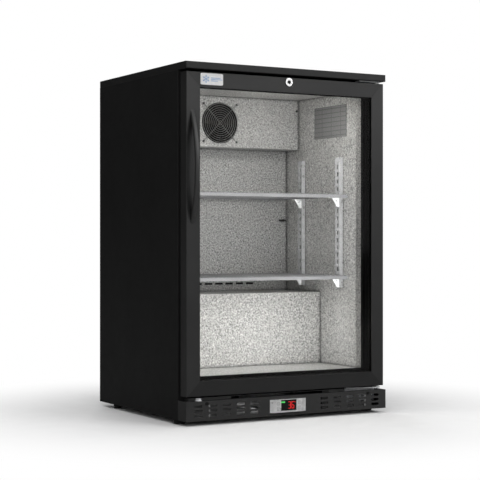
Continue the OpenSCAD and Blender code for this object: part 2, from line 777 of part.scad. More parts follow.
// Pressed clip that hooks into a pilaster and carries a corner of a shelf
module shelf_clip(b, top) {
    x1 = in_x - pil_depth;
    slab(x1 - 23, x1, b + 2, b + 18, top - 1.5, top);
    slab(x1 - 1.5, x1, b + 2, b + 18, top - 25, top - 1.5);
    difference() {
        translate([0, yb(b + 3.5), 0]) rotate([90, 0, 0]) linear_extrude(1.5)
            polygon([
                [x1 - 23, top - 1.5], [x1 - 1.5, top - 1.5], [x1 - 1.5, top - 25], [x1 - 6, top - 25]
            ]);
        rod_y(x1 - 8.5, top - 8.5, b, b + 5, 2.4);
    }
    // tongue through the slot
    slab(x1, x1 + 2.5, b + 7.5, b + 11.5, top - 1.2, top + 2);
}

module shelf_clips() color("#d5d7da")
    for (m = [0, 1]) mirror([m, 0, 0])
        for (z = [upper_shelf_z, lower_shelf_z], b = [pil_front_b, pil_rear_b])
            shelf_clip(b, z - rod_drop - rod_r - 0.02);

// Wire shelf with a rolled front bar
module shelf(top) color("#c4c4c8") {
    pitch = 2 * (shelf_half - 6) / (shelf_wires - 1);
    z_rod = top - rod_drop;
    face_plate(0, top - 2 - bar_h / 2, 2 * shelf_half, bar_h, 1.2, shelf_b0 + 0.6, shelf_b0 + 3.1);
    for (i = [0:shelf_wires - 1])
        rod_y(-shelf_half + 6 + i * pitch, top - wire_r, shelf_b0, shelf_b1, wire_r);
    for (b = [shelf_b0 + 24, 230, 318, shelf_b1 - rod_r])
        rod_x(-shelf_half + 2, shelf_half - 2, b, z_rod, rod_r);
    for (x = [-1, 1]) rod_y(x * (shelf_half - rod_r), z_rod, shelf_b0 + 1.5, shelf_b1, rod_r);
}

module upper_shelf() shelf(upper_shelf_z);

module lower_shelf() shelf(lower_shelf_z);

module data_plate() color("#9a9c9e")
    slab(in_x - 0.6, in_x, 127, 288, ceil_z - 118, ceil_z - 30);

module temperature_probe() color("#151515") {
    rod_x(232, 254, duct_b - 4, 517, 2.2);
    slab(244, 248, duct_b - 6.6, duct_b, 514.2, 519.8);
}

// ---------- machine space ----------

stub_z = floor_gap + 160;

module compressor() color("#141414") {
    z0 = floor_gap + 18;
    // welded pot with a domed lid
    translate([comp_x, yb(comp_b), z0 + 3]) rotate_extrude($fn = 96) {
        square([comp_r - 12, 12]);
        translate([0, 12]) square([comp_r, 86]);
        translate([comp_r - 12, 12]) intersection() {
            circle(12);
            translate([0, -12]) square([12, 12]);
        }
        translate([0, 62]) square([comp_r + 2.5, 6]);
        translate([0, 98]) square([comp_r - 34, 34]);
        translate([comp_r - 34, 98]) intersection() {
            circle(34);
            square([34, 34]);
        }
    }
    difference() {
        slab(comp_x - 80, comp_x + 80, comp_b - 56, comp_b + 56, z0, z0 + 3);
        for (x = [-66, 66], b = [-44, 44]) rod_z(comp_x + x, comp_b + b, z0 - 1, z0 + 4, 6.1);
    }
    // stubs for the discharge and suction lines
    rod_z(comp_x + 40, comp_b - 36, z0 + 90, stub_z, 5);
    rod_z(comp_x - 30, comp_b + 34, z0 + 90, stub_z, 5.5);
    // terminal cover
    slab(comp_x + comp_r + 3, comp_x + comp_r + 25, comp_b - 30, comp_b + 24, z0 + 30, z0 + 88);
}

module compressor_mounts() color("#0c0c0c")
    for (x = [-66, 66], b = [-44, 44]) {
        rod_z(comp_x + x, comp_b + b, floor_gap + 2, floor_gap + 18, 10);
        rod_z(comp_x + x, comp_b + b, floor_gap + 18, floor_gap + 22, 6);
        rod_z(comp_x + x, comp_b + b, floor_gap + 22, floor_gap + 25, 8);
    }

module condenser_coil() color("#9ea2a6") {
    z = cond_z0 + 22;
    up = [for (i = [0:5]) [cond_b + 12, z + 33 * i]];
    down = [for (i = [5:-1:0]) [cond_b + 38, z + 33 * i]];
    tubes = concat(up, down);
    finned_coil(cond_x0 + 14, cond_x1 - 14, cond_b, cond_b + 50, cond_z0, cond_z1, 7, tubes, 4);
}

module condenser_fan_shroud() color("#7f8386") {
    b0 = cond_b - 26;
    difference() {
        slab(cond_x0, cond_x1, b0, b0 + 24, cond_z0, cond_z1);
        slab(cond_x0 + 1.5, cond_x1 - 1.5, b0 + 1.5, b0 + 25, cond_z0 + 1.5, cond_z1 - 1.5);
        rod_y(cond_fan_x, cond_fan_z, b0 - 1, b0 + 3, cond_fan_r + 4);
    }
    // feet that stand on the base
    for (x = [cond_x0, cond_x1 - 20]) slab(x, x + 20, b0, b0 + 24, floor_gap + 2, cond_z0 + 1);
    // motor with its shaft, on three arms
    rod_y(cond_fan_x, cond_fan_z, b0 - 46, b0 - 8, 30);
    rod_y(cond_fan_x, cond_fan_z, b0 - 9, b0 + 4, shaft_r);
    for (a = [60:120:300]) translate([cond_fan_x, yb(b0 - 12), cond_fan_z]) rotate([0, a, 0]) {
        translate([-5, 0, 26]) cube([10, 2, cond_fan_r - 16]);
        translate([-5, 0, cond_fan_r + 8]) cube([10, 12.5, 2]);
    }
}

module condenser_fan_rotor() color("#dcdedf")
    fan_rotor(cond_fan_x, cond_fan_z, cond_b - 32, cond_b - 8, 20, cond_fan_r, 5, 44,
        cond_b - 33, cond_b - 21);

module refrigerant_lines() color("#b06a3c") {
    coil_end = cond_x0 + 8;
    coil_z = cond_z0 + 22;
    pipe_x = cond_x0 - 20;
    // hot gas from the compressor to the condenser
    tube_path([[comp_x + 40, comp_b - 36, stub_z], [comp_x + 40, comp_b - 36, 250],
        [pipe_x, comp_b - 36, 250], [pipe_x, cond_b + 38, 250], [pipe_x, cond_b + 38, coil_z],
        [coil_end, cond_b + 38, coil_z]], 3.2);
    // liquid from the condenser, through the filter drier and the capillary to the evaporator
    tube_path([[coil_end, cond_b + 12, coil_z], [pipe_x, cond_b + 12, coil_z], [pipe_x, cond_b + 12, 62],
        [pipe_x, 330, 62], [20, 330, 62], [20, 330, 97]], 3);
    rod_z(20, 330, 96, 180, 10);
    tube_path([[20, 330, 179], [20, 330, 228], [-40, 330, 228], [-40, 330, bay_z - 3]], 1.6);
    // suction line back to the compressor
    tube_path([[comp_x - 30, comp_b + 34, stub_z], [comp_x - 30, comp_b + 34, 258],
        [comp_x - 30, comp_b + 64, 258], [comp_x - 30, comp_b + 64, bay_z - 3]], 4);
}

// Open tray in which the defrost water evaporates
module evaporation_tray() color("#1c1d1e") difference() {
    slab(-48, 30, 318, 472, floor_gap + 2, floor_gap + 28);
    slab(-46, 28, 320, 470, floor_gap + 4, floor_gap + 29);
}

// Louvred rear cover, set in so that the cord stows behind it
module rear_grille() color("#2a2c2d") {
    difference() {
        union() {
            slab(-skin_x + 1, skin_x - 1, grille_b, grille_b + 1.5, floor_gap + 3, bay_z - 1.5);
            for (x = [-skin_x + 1, skin_x - 2.5])
                slab(x, x + 1.5, grille_b, foam_b1 - 2, floor_gap + 3, bay_z - 1.5);
        }
        for (x = [-205, -123, -41, 41, 123, 205], k = [0:9])
            slot_cut(x, 52 + 20 * k, 62, 7, grille_b - 1, grille_b + 3);
        for (x = [-270, 0, 270], z = [30, bay_z - 12]) rod_y(x, z, grille_b - 1, grille_b + 3, 1.7);
        rod_y(-262, 52, grille_b - 1, grille_b + 3, 8.05);
    }
    // cleat for the coiled cord
    slab(cord_x - 7, cord_x + 7, grille_b + 1, grille_b + 32, cord_z + cord_r - 8, cord_z + cord_r - 6);
    slab(cord_x - 7, cord_x + 7, grille_b + 30, grille_b + 32, cord_z + cord_r - 7, cord_z + cord_r + 9);
}

cord_x = -140;
cord_z = 150;
cord_r = 72;
wire_thick = 4;

module power_cord() color("#101010") {
    mid = grille_b + 18;
    rod_y(-262, 52, grille_b - 4, grille_b + 6, 8);
    for (k = [-1:1]) translate([cord_x, yb(mid + k * (2 * wire_thick - 0.2)), cord_z]) rotate([90, 0, 0])
        rotate_extrude($fn = 96) translate([cord_r, 0]) circle(wire_thick);
    tube_path([[-262, grille_b + 6, 52], [-262, mid, 52], [-262, mid, 110],
        [cord_x - cord_r - 2, mid, cord_z]], wire_thick);
    // plug body with two blades and an earth pin
    face_plate(10, cord_z, 46, 30, 8, mid - 12, mid + 12);
    tube_path([[cord_x + cord_r, mid, cord_z], [-10, mid, cord_z]], wire_thick);
    for (z = [-6.3, 6.3]) slab(31, 51, mid - 3, mid + 3.5, cord_z + z - 0.75, cord_z + z + 0.75);
    rod_x(31, 53, mid + 8, cord_z, 2.4);
}

side_panel_left();
side_panel_right();
rear_panel();
foam_insulation();
inner_liner();
front_trim();
top_panel();
base_frame();
compartment_divider();
kick_plate();
controller_body();
controller_bezel();
display_leds();
button_set();
button_light();
button_up();
button_down();
hinge_brackets();
zinc_fasteners();
black_screws();
data_plate();
foot_front_left();
foot_front_right();
foot_rear_left();
foot_rear_right();
door_rail_top();
door_rail_bottom();
door_stile_left();
door_stile_right();
glass_panes();
glass_spacer();
glazing_bead();
door_gasket();
door_handle();
door_badge();
hinge_bushes();
lock_housing();
lock_plug_and_cam();
evaporator_cover();
rear_duct_panel();
fan_guard();
evaporator_fan_frame();
evaporator_fan_rotor();
evaporator_coil();
evaporator_drip_tray();
led_lamp();
shelf_pilasters();
shelf_clips();
upper_shelf();
lower_shelf();
temperature_probe();
compressor();
compressor_mounts();
condenser_coil();
condenser_fan_shroud();
condenser_fan_rotor();
refrigerant_lines();
evaporation_tray();
rear_grille();
power_cord();
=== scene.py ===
"""Looks of the undercounter glass-door refrigerator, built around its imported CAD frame.

Everything is in metres in the row frame: X right and Y back as seen facing the door, Z up from the
floor. Grey levels are sRGB values from 0 to 255.
"""

import math
from collections import namedtuple

import bpy
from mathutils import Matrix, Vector


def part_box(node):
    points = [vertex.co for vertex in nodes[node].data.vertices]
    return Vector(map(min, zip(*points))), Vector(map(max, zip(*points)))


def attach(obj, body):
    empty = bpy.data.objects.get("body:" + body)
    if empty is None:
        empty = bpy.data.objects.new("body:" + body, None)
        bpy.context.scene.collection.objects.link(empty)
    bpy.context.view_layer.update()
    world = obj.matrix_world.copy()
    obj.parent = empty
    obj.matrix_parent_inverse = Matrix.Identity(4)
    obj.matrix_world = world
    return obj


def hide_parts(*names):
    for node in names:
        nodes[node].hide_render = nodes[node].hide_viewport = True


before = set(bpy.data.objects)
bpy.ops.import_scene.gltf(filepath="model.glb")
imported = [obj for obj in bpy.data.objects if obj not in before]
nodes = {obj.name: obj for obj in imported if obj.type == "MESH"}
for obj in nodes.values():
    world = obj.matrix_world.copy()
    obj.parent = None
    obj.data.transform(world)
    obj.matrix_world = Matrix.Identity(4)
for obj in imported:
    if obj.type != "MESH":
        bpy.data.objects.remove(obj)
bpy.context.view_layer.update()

MM = 0.001
LIP_Y = -0.248  # front edge of the top panel
SLOT_SHADE_Y = 0.2  # the liner behind this plane shows through the return slots; it is coloured near black there, as painted shade for the dark cavity
TRAY_POST_Y = -0.165  # the tray's front posts are in front of this plane
TRAY_SHEET_Z = 0.0145  # top of the tray's sheet
STATUS_BAR_X = -0.0125  # the display's status bar is left of this plane, the digits right of it
SMOOTH_ANGLE = math.radians(32)
BEVEL_ANGLE = math.radians(40)

# ---------------------------------------------------------------- node helpers


class Tree:
    """A material's node tree with short calls for adding and linking nodes."""

    def __init__(self, name):
        self.material = bpy.data.materials.new(name)
        self.material.use_nodes = True
        self.tree = self.material.node_tree
        self.tree.nodes.clear()
        self.out = self.tree.nodes.new("ShaderNodeOutputMaterial")

    def add(self, kind, out=0, props=None, **inputs):
        """Adds a node, fills its inputs and returns one output.

        Inputs go by name, with underscores for spaces, or by place as i0, i1 and so on.
        """
        made = self.tree.nodes.new("ShaderNode" + kind)
        for key, value in (props or {}).items():
            setattr(made, key, value)
        for key, value in inputs.items():
            by_place = key[0] == "i" and key[1:].isdigit()
            index = int(key[1:]) if by_place else key.replace("_", " ")
            self.put(made.inputs[index], value)
        return made.outputs[out]

    def put(self, socket, value):
        """Links a socket to an output, or sets it to a plain value."""
        if isinstance(value, bpy.types.NodeSocket):
            self.tree.links.new(value, socket)
        elif isinstance(value, (tuple, list)) and len(value) == 3 and socket.type == "RGBA":
            socket.default_value = (*value, 1)
        else:
            socket.default_value = value

    def place(self, scale=(1, 1, 1)):
        """Object coordinates, which are metres in the row frame, stretched by scale."""
        coord = self.add("TexCoord", out="Object")
        return self.add("Mapping", Vector=coord, Scale=scale)

    def axis(self, name):
        """One of the row frame's coordinates, in metres."""
        return self.add("SeparateXYZ", out=name, Vector=self.add("TexCoord", out="Object"))

    def noise(self, scale, detail=3.0, rough=0.5, stretch=(1, 1, 1)):
        """Smooth noise with scale blotches per metre, stretched like place."""
        return self.add("TexNoise", out="Fac", Vector=self.place(stretch), Scale=scale, Detail=detail,
                        Roughness=rough)

    def spangle(self):
        """One random tone for each zinc crystal."""
        cells = self.add("TexVoronoi", out="Color", Vector=self.place(), Scale=110.0)
        return self.add("SeparateColor", Color=cells)

    def remap(self, value, low, high, to_low, to_high):
        """Carries the range low to high over to another one, and clamps."""
        return self.add("MapRange", Value=value, From_Min=low, From_Max=high, To_Min=to_low,
                        To_Max=to_high)

    def mix(self, factor, a, b):
        """Colour a where factor is 0, colour b where it is 1."""
        made = self.tree.nodes.new("ShaderNodeMix")
        made.data_type = "RGBA"
        sockets = {socket.identifier: socket for socket in made.inputs}
        self.put(sockets["Factor_Float"], factor)
        self.put(sockets["A_Color"], a)
        self.put(sockets["B_Color"], b)
        return next(socket for socket in made.outputs if socket.identifier == "Result_Color")

    def math(self, operation, a, b=0.0):
        """One step of arithmetic on plain values or outputs."""
        return self.add("Math", props={"operation": operation}, i0=a, i1=b)

    def bump(self, height, strength, distance, normal=None):
        """A normal tilted by a height pattern, on top of another normal if given."""
        inputs = {"Height": height, "Strength": strength, "Distance": distance}
        if normal is not None:
            inputs["Normal"] = normal
        return self.add("Bump", **inputs)

    def edge_wear(self, radius):
        """0 on flats, towards 1 on edges, broken up by noise."""
        sharpness = 6.0
        bevel = self.add("Bevel", props={"samples": 4}, Radius=radius)
        geometry = self.add("NewGeometry", out="Normal")
        facing = self.add("VectorMath", out="Value", props={"operation": "DOT_PRODUCT"}, i0=bevel,
                          i1=geometry)
        edge = self.math("MULTIPLY", self.math("SUBTRACT", 1.0, facing), sharpness)
        patches = self.remap(self.noise(60, 4), 0.42, 0.62, 0.15, 1.0)
        return self.add("Clamp", Value=self.math("MULTIPLY", edge, patches))

    def crease(self, reach, floor, closed=0.4, opened=0.8):
        """Painted shade factor: 1 in the open, down to floor in corners and gaps narrower than reach."""
        occlusion = self.add("AmbientOcclusion", out="AO", props={"samples": 4}, Distance=reach)
        return self.remap(occlusion, closed, opened, floor, 1.0)

    def principled(self, **inputs):
        """Finishes the material with one principled shader."""
        return self.surface(self.add("BsdfPrincipled", **inputs))

    def surface(self, shader):
        """Finishes the material with any shader."""
        self.tree.links.new(shader, self.out.inputs["Surface"])
        return self.material


def shade(value):
    """Linear value of an sRGB grey given from 0 to 255."""
    c = value / 255
    return c / 12.92 if c <= 0.04045 else ((c + 0.055) / 1.055) ** 2.4


def grey(value, tint=(1, 1, 1)):
    """Linear colour of an sRGB grey, multiplied by a tint."""
    return tuple(shade(value) * t for t in tint)


def scaled(color, factor, lift=0.0):
    """The colour made darker or lighter, kept within 1."""
    return tuple(min(1, c * factor + lift) for c in color)


# ---------------------------------------------------------------- materials

NO_TINT = (1, 1, 1)
WARM = (1.0, 0.993, 0.975)
BLUISH = (0.98, 0.99, 1.01)


def coated_metal(name, value, rough, grain=0.25, coat=0.0, specular=0.5, worn=True,
                 stretch=(1, 1, 1), painted_shade_reach=0.0):
    """Powder-coated or lacquered metal: orange-peel bump, faint cloudiness, edges worn a little lighter.

    Within a given reach of another surface the colour is darkened: painted shade, as in the shadow behind
    the door's handle.
    """
    t = Tree(name)
    base = grey(value)
    color = t.mix(t.remap(t.noise(9, 4), 0.3, 0.7, 0, 1), scaled(base, 0.86), scaled(base, 1.12))
    if worn:
        color = t.mix(t.math("MULTIPLY", t.edge_wear(1.2 * MM), 0.35), color, grey(92))
    # painted shade: the colour darkens near other surfaces, as behind the handle
    if painted_shade_reach:
        color = t.mix(t.crease(painted_shade_reach, 0.2, 0.6, 1.0), grey(4), color)
    peel = t.noise(900, 2, stretch=stretch)
    streak = t.noise(260, 3, 0.6, stretch=stretch)
    clouds = t.math("ADD", t.noise(30, 5), t.math("MULTIPLY", streak, 0.5))
    roughness = t.remap(clouds, 0.5, 1.0, rough - 0.02, rough + 0.04)
    return t.principled(Base_Color=color, Roughness=roughness, Metallic=0.0, Specular_IOR_Level=specular,
                        Coat_Weight=coat, Coat_Roughness=0.25, Normal=t.bump(peel, grain, 0.12 * MM))


def brushed_metal(name, value, rough, stretch, grain=0.12):
    """Bare or plated metal with a directional grain, small stains and roughness streaks."""
    t = Tree(name)
    streak = t.noise(1.0, 3, 0.6, stretch=stretch)
    stain = t.noise(14, 5, 0.6)
    base = grey(value)
    color = t.mix(t.remap(stain, 0.35, 0.7, 0, 1), base, scaled(base, 0.8))
    color = t.mix(t.remap(streak, 0.3, 0.7, 0.0, 0.3), color, scaled(base, 1.15))
    roughness = t.remap(t.math("ADD", streak, stain), 0.6, 1.4, rough - 0.07, rough + 0.1)
    return t.principled(Base_Color=color, Roughness=roughness, Metallic=1.0,
                        Normal=t.bump(streak, grain, 0.1 * MM))


def galvanised(name, value):
    """Zinc-coated sheet with crystal spangle."""
    t = Tree(name)
    tone = t.spangle()
    fine = t.noise(500, 3)
    base = grey(value)
    color = t.mix(tone, scaled(base, 0.84), scaled(base, 1.1))
    roughness = t.remap(t.math("ADD", tone, fine), 0.3, 1.6, 0.32, 0.55)
    return t.principled(Base_Color=color, Roughness=roughness, Metallic=0.85,
                        Normal=t.bump(fine, 0.15, 0.1 * MM))


def zinc_plate(name, value, metallic, tint=BLUISH):
    """Bright zinc plating: slightly cloudy, with a fine pickling texture."""
    t = Tree(name)
    cloud = t.noise(60, 5, 0.65)
    base = grey(value, tint)
    color = t.mix(t.remap(cloud, 0.35, 0.65, 0, 1), scaled(base, 0.78), base)
    color = t.mix(t.math("MULTIPLY", t.edge_wear(0.8 * MM), 0.3), color, grey(235))
    roughness = t.remap(cloud, 0.3, 0.7, 0.24, 0.42)
    return t.principled(Base_Color=color, Roughness=roughness, Metallic=metallic,
                        Normal=t.bump(t.noise(1400, 2), 0.1, 0.05 * MM))


def stucco_aluminium(name, value, contrast, shade_behind_y=None):
    """Stucco-embossed aluminium: random rounded pebbles, painted shade in its corners and, behind a given
    plane of y, near-black painted shade.
    """
    t = Tree(name)
    pebble = 250.0
    warp = t.add("TexNoise", out="Color", Vector=t.place(), Scale=120.0, Detail=2.0)
    warped = t.add("VectorMath", props={"operation": "MULTIPLY_ADD"}, i0=warp, i1=(6 * MM, 6 * MM, 6 * MM),
                   i2=t.place())
    cells = t.add("TexVoronoi", props={"feature": "SMOOTH_F1"}, out="Distance", Vector=warped,
                  Scale=pebble, Smoothness=0.5)
    fine = t.noise(700, 3, 0.6)
    clumps = t.noise(pebble * 0.9, 5, 0.75)
    base = grey(value, WARM)
    spots = t.math("ADD", t.math("MULTIPLY", t.remap(cells, 0.1, 0.75, 0, 1), 0.4),
                   t.math("MULTIPLY", t.remap(clumps, 0.38, 0.62, 0, 1), 0.6))
    color = t.mix(spots, scaled(base, 1 + contrast * 0.6), scaled(base, 1 - contrast))
    color = t.mix(t.remap(t.noise(6, 4), 0.35, 0.65, 0, 0.25), color, scaled(base, 0.8))
    # painted shade: corners and seams of the liner darkened
    color = t.mix(t.crease(12 * MM, 0.12), grey(20), color)
    # painted shade: near black behind the given plane, where the liner shows dark through the return slots
    if shade_behind_y is not None:
        color = t.mix(t.math("GREATER_THAN", t.axis("Y"), shade_behind_y), color, grey(6))
    height = t.math("ADD", t.math("MULTIPLY", cells, -1.0), t.math("MULTIPLY", fine, 0.35))
    waves = t.bump(t.noise(4, 2), 0.5, 8 * MM)
    return t.principled(Base_Color=color, Roughness=t.remap(fine, 0.3, 0.7, 0.34, 0.52), Metallic=0.8,
                        Normal=t.bump(height, 1.0, 2.2 * MM, waves))


def moulded_plastic(name, value, rough, tint=NO_TINT, texture=1200, depth=0.06 * MM, specular=0.5,
                    underside_shade=1.0):
    """Moulded plastic with a fine tool texture, dusty roughness patches and edges rubbed smooth.

    Below 1, the last argument is the share of the colour that is left on faces that look down: painted
    shade under the part.
    """
    t = Tree(name)
    base = grey(value, tint)
    color = t.mix(t.remap(t.noise(18, 4), 0.3, 0.7, 0, 1), scaled(base, 0.86), scaled(base, 1.1))
    color = t.mix(t.math("MULTIPLY", t.edge_wear(0.8 * MM), 0.25), color, scaled(base, 1.6, 0.01))
    # painted shade: faces that look down are darkened
    if underside_shade < 1:
        normal_z = t.add("SeparateXYZ", out="Z", Vector=t.add("NewGeometry", out="Normal"))
        color = t.mix(t.remap(normal_z, -0.7, -0.1, 1 - underside_shade, 0), color, (0, 0, 0))
    roughness = t.remap(t.noise(45, 5, 0.6), 0.3, 0.7, rough - 0.06, rough + 0.1)
    return t.principled(Base_Color=color, Roughness=roughness, Specular_IOR_Level=specular,
                        Normal=t.bump(t.noise(texture, 2), 0.35, depth))


def soft_rubber(name, value, rough=0.6):
    """Soft rubber or vinyl: matte, slightly mottled, with scuffs and a soft sheen."""
    t = Tree(name)
    base = grey(value)
    scuff = t.noise(150, 5, 0.7)
    color = t.mix(t.remap(scuff, 0.45, 0.7, 0, 0.5), base, scaled(base, 1.9, 0.004))
    roughness = t.remap(t.noise(70, 4), 0.3, 0.7, rough - 0.08, rough + 0.15)
    return t.principled(Base_Color=color, Roughness=roughness, Specular_IOR_Level=0.35, Sheen_Weight=0.15,
                        Sheen_Roughness=0.5, Normal=t.bump(scuff, 0.25, 0.1 * MM))


def clear_glass(name):
    """Thin clear pane: light passes straight through, with a Fresnel reflection and faint smears."""
    t = Tree(name)
    reflect = 0.22
    tint = (0.985, 0.985, 0.98)
    smear = t.noise(7, 5, 0.6, stretch=(1, 1, 0.5))
    patches = t.remap(smear, 0.3, 0.7, 0, 1)
    amount = t.math("MULTIPLY", t.add("Fresnel", IOR=1.45),
                    t.remap(smear, 0.3, 0.7, reflect * 0.85, reflect * 1.1))
    clear = t.add("BsdfTransparent", Color=t.mix(patches, tint, scaled(tint, 0.99)))
    gloss = t.add("BsdfGlossy", Color=(1, 1, 1), Roughness=t.remap(smear, 0.3, 0.7, 0.01, 0.05))
    return t.surface(t.add("MixShader", i0=amount, i1=clear, i2=gloss))


def lamp_lens(name):
    """A lit lens: white light, uneven from die to die, over a milky plastic body."""
    t = Tree(name)
    white = (1.0, 0.98, 0.95)
    grain = t.remap(t.noise(420, 2), 0.3, 0.7, 0.8, 1.15)
    body = t.add("BsdfPrincipled", Base_Color=t.mix(grain, (0.85, 0.85, 0.83), white), Roughness=0.3)
    glow = t.add("Emission", Color=white, Strength=t.math("MULTIPLY", grain, 4.0))
    return t.surface(t.add("AddShader", i0=body, i1=glow))


def segment_leds(name):
    """Display segments: the status bar glows green, the digits red."""
    t = Tree(name)
    is_bar = t.math("LESS_THAN", t.axis("X"), STATUS_BAR_X)
    grain = t.remap(t.noise(900, 2), 0.3, 0.7, 0.75, 1.1)
    color = t.mix(is_bar, (1.0, 0.02, 0.02), (0.1, 0.75, 0.16))
    body = t.add("BsdfPrincipled", Base_Color=t.mix(grain, (0.05, 0.01, 0.01), color), Roughness=0.3,
                 Normal=t.bump(grain, 0.1, 0.05 * MM))
    level = t.math("MULTIPLY", grain, t.remap(is_bar, 0, 1, 0.55, 0.4))
    glow = t.add("Emission", Color=color, Strength=level)
    return t.surface(t.add("AddShader", i0=body, i1=glow))


def copper(name):
    """Drawn copper tube, browned in patches."""
    t = Tree(name)
    patina = t.noise(45, 5, 0.65)
    color = t.mix(t.remap(patina, 0.4, 0.68, 0, 1), (0.72, 0.33, 0.17), (0.26, 0.11, 0.06))
    roughness = t.remap(patina, 0.3, 0.7, 0.25, 0.5)
    return t.principled(Base_Color=color, Roughness=roughness, Metallic=1.0,
                        Normal=t.bump(t.noise(500, 2), 0.1, 0.1 * MM))


def base_frame_finish(name):
    """Galvanised tray whose front posts, above the tray's sheet, are coloured light grey: painted light,
    so that from their shade behind the kick plate they read through its slots.
    """
    t = Tree(name)
    # painted light: the front posts above the tray's sheet get a light grey instead of zinc
    lightened_posts = t.math("MULTIPLY", t.math("LESS_THAN", t.axis("Y"), TRAY_POST_Y),
                     t.math("GREATER_THAN", t.axis("Z"), TRAY_SHEET_Z))
    zinc = t.mix(t.spangle(), grey(158), grey(205))
    color = t.mix(lightened_posts, zinc, t.mix(t.noise(60, 4), grey(120), grey(140)))
    fine = t.noise(500, 3)
    return t.principled(Base_Color=color, Roughness=t.remap(fine, 0.3, 0.7, 0.38, 0.55),
                        Metallic=t.remap(lightened_posts, 0, 1, 0.6, 0.0), Normal=t.bump(fine, 0.15, 0.1 * MM))


def blank_label(name):
    """Foil data plate with an empty ruled form: fields and rules, nothing written in them."""
    t = Tree(name)
    flat = t.add("CombineXYZ", X=t.axis("Y"), Y=t.axis("Z"))
    form = t.add("TexBrick", out="Fac", props={"offset": 0.0, "squash": 1.0}, Vector=flat, Scale=1.0,
                 Mortar_Size=1.1 * MM, Mortar_Smooth=0.2, Brick_Width=46 * MM, Row_Height=12.5 * MM)
    stain = t.noise(40, 4)
    foil = t.mix(stain, grey(98), grey(116))
    color = t.mix(t.math("MULTIPLY", form, 0.75), foil, grey(60))
    return t.principled(Base_Color=color, Metallic=0.5, Roughness=t.remap(stain, 0.3, 0.7, 0.38, 0.5),
                        Normal=t.bump(form, 0.3, 0.1 * MM))


def foam(name):
    """Cut closed-cell insulation."""
    t = Tree(name)
    cells = t.add("TexVoronoi", out="Distance", Vector=t.place(), Scale=900.0)
    color = t.mix(t.remap(cells, 0, 0.7, 0, 1), (0.62, 0.5, 0.24), (0.78, 0.68, 0.42))
    return t.principled(Base_Color=color, Roughness=0.85, Normal=t.bump(cells, 0.5, 0.5 * MM))


EVEN_GRAIN = (300, 300, 300)
BRUSHED_UP = (300, 300, 4)
DRAWN_UP = (1, 1, 0.08)
DRAWN_ACROSS = (0.08, 1, 1)

LOOKS = {
    "side": coated_metal("side_powder_coat", 28, 0.55, specular=0.25),
    "top": coated_metal("top_powder_coat", 34, 0.48, specular=0.3),
    # the door's coat gets painted shade near other surfaces, for the handle's shadow on the stile
    "door": coated_metal("door_satin_lacquer", 42, 0.42, 0.15, specular=0.42, stretch=DRAWN_UP,
                         painted_shade_reach=0.04),
    "rail": coated_metal("rail_satin_lacquer", 36, 0.42, 0.12, specular=0.36, stretch=DRAWN_ACROSS),
    "kick": coated_metal("kick_powder_coat", 48, 0.45, specular=0.4),
    "handle": coated_metal("handle_satin_lacquer", 57, 0.38, 0.1, coat=0.05, specular=0.36),
    "screw": coated_metal("blackened_screw", 12, 0.4, specular=0.3),
    "guard": brushed_metal("guard_nickel", 170, 0.3, EVEN_GRAIN, grain=0.03),
    "pot": coated_metal("compressor_enamel", 22, 0.28, 0.3, coat=0.4),
    "galvanised": galvanised("galvanised_sheet", 165),
    "base": base_frame_finish("base_frame_finish"),
    "zinc": zinc_plate("bright_zinc", 245, 0.35),
    "rack": zinc_plate("rack_zinc", 158, 0.35),
    # the liner gets near-black painted shade behind the given plane, seen through the return slots
    "liner": stucco_aluminium("stucco_liner", 214, 0.8, shade_behind_y=SLOT_SHADE_Y),
    "duct": stucco_aluminium("stucco_duct", 218, 0.85),
    "cover": stucco_aluminium("stucco_cover", 232, 0.8),
    "fins": brushed_metal("fin_aluminium", 200, 0.35, BRUSHED_UP),
    "coil": coated_metal("coil_epoxy", 8, 0.5, specular=0.1, worn=False),
    "fan": moulded_plastic("fan_plastic", 2, 0.6, specular=0.05),
    "chrome": brushed_metal("lock_chrome", 225, 0.16, EVEN_GRAIN, grain=0.03),
    "plug": brushed_metal("lock_plug_steel", 60, 0.3, EVEN_GRAIN, grain=0.03),
    "plate": blank_label("data_plate_foil"),
    "trim": moulded_plastic("throat_plastic", 3, 0.65, specular=0.06),
    "case": moulded_plastic("window_plastic", 9, 0.12, texture=300, depth=0.01 * MM),
    "bezel": zinc_plate("bezel_silver", 252, 0.55, NO_TINT),
    "button": moulded_plastic("button_plastic", 205, 0.35),
    "white": moulded_plastic("white_plastic", 225, 0.4),
    "nylon": moulded_plastic("bush_nylon", 215, 0.5, (1, 1, 0.95)),
    "black_plastic": moulded_plastic("black_plastic", 9, 0.6, specular=0.15),
    # the shelf coating gets painted shade on its underside
    "wire": moulded_plastic("shelf_coating", 92, 0.4, (0.98, 0.99, 1.03), texture=500, depth=0.1 * MM,
                            underside_shade=0.35),
    "rubber": soft_rubber("gasket_rubber", 20),
    "foot": soft_rubber("foot_rubber", 17, 0.7),
    "cord": soft_rubber("cord_vinyl", 22, 0.45),
    "glass": clear_glass("door_glass"),
    "lamp": lamp_lens("lamp_diffuser"),
    "digits": segment_leds("display_segments"),
    "badge": moulded_plastic("badge_white", 240, 0.25, texture=200, depth=0.02 * MM),
    "badge_blue": moulded_plastic("badge_blue", 200, 0.3, (0.32, 0.62, 1.1), texture=200,
                                  depth=0.02 * MM),
    "copper": copper("copper_tube"),
    "foam": foam("insulation"),
}

# ---------------------------------------------------------------- carried-over CAD nodes


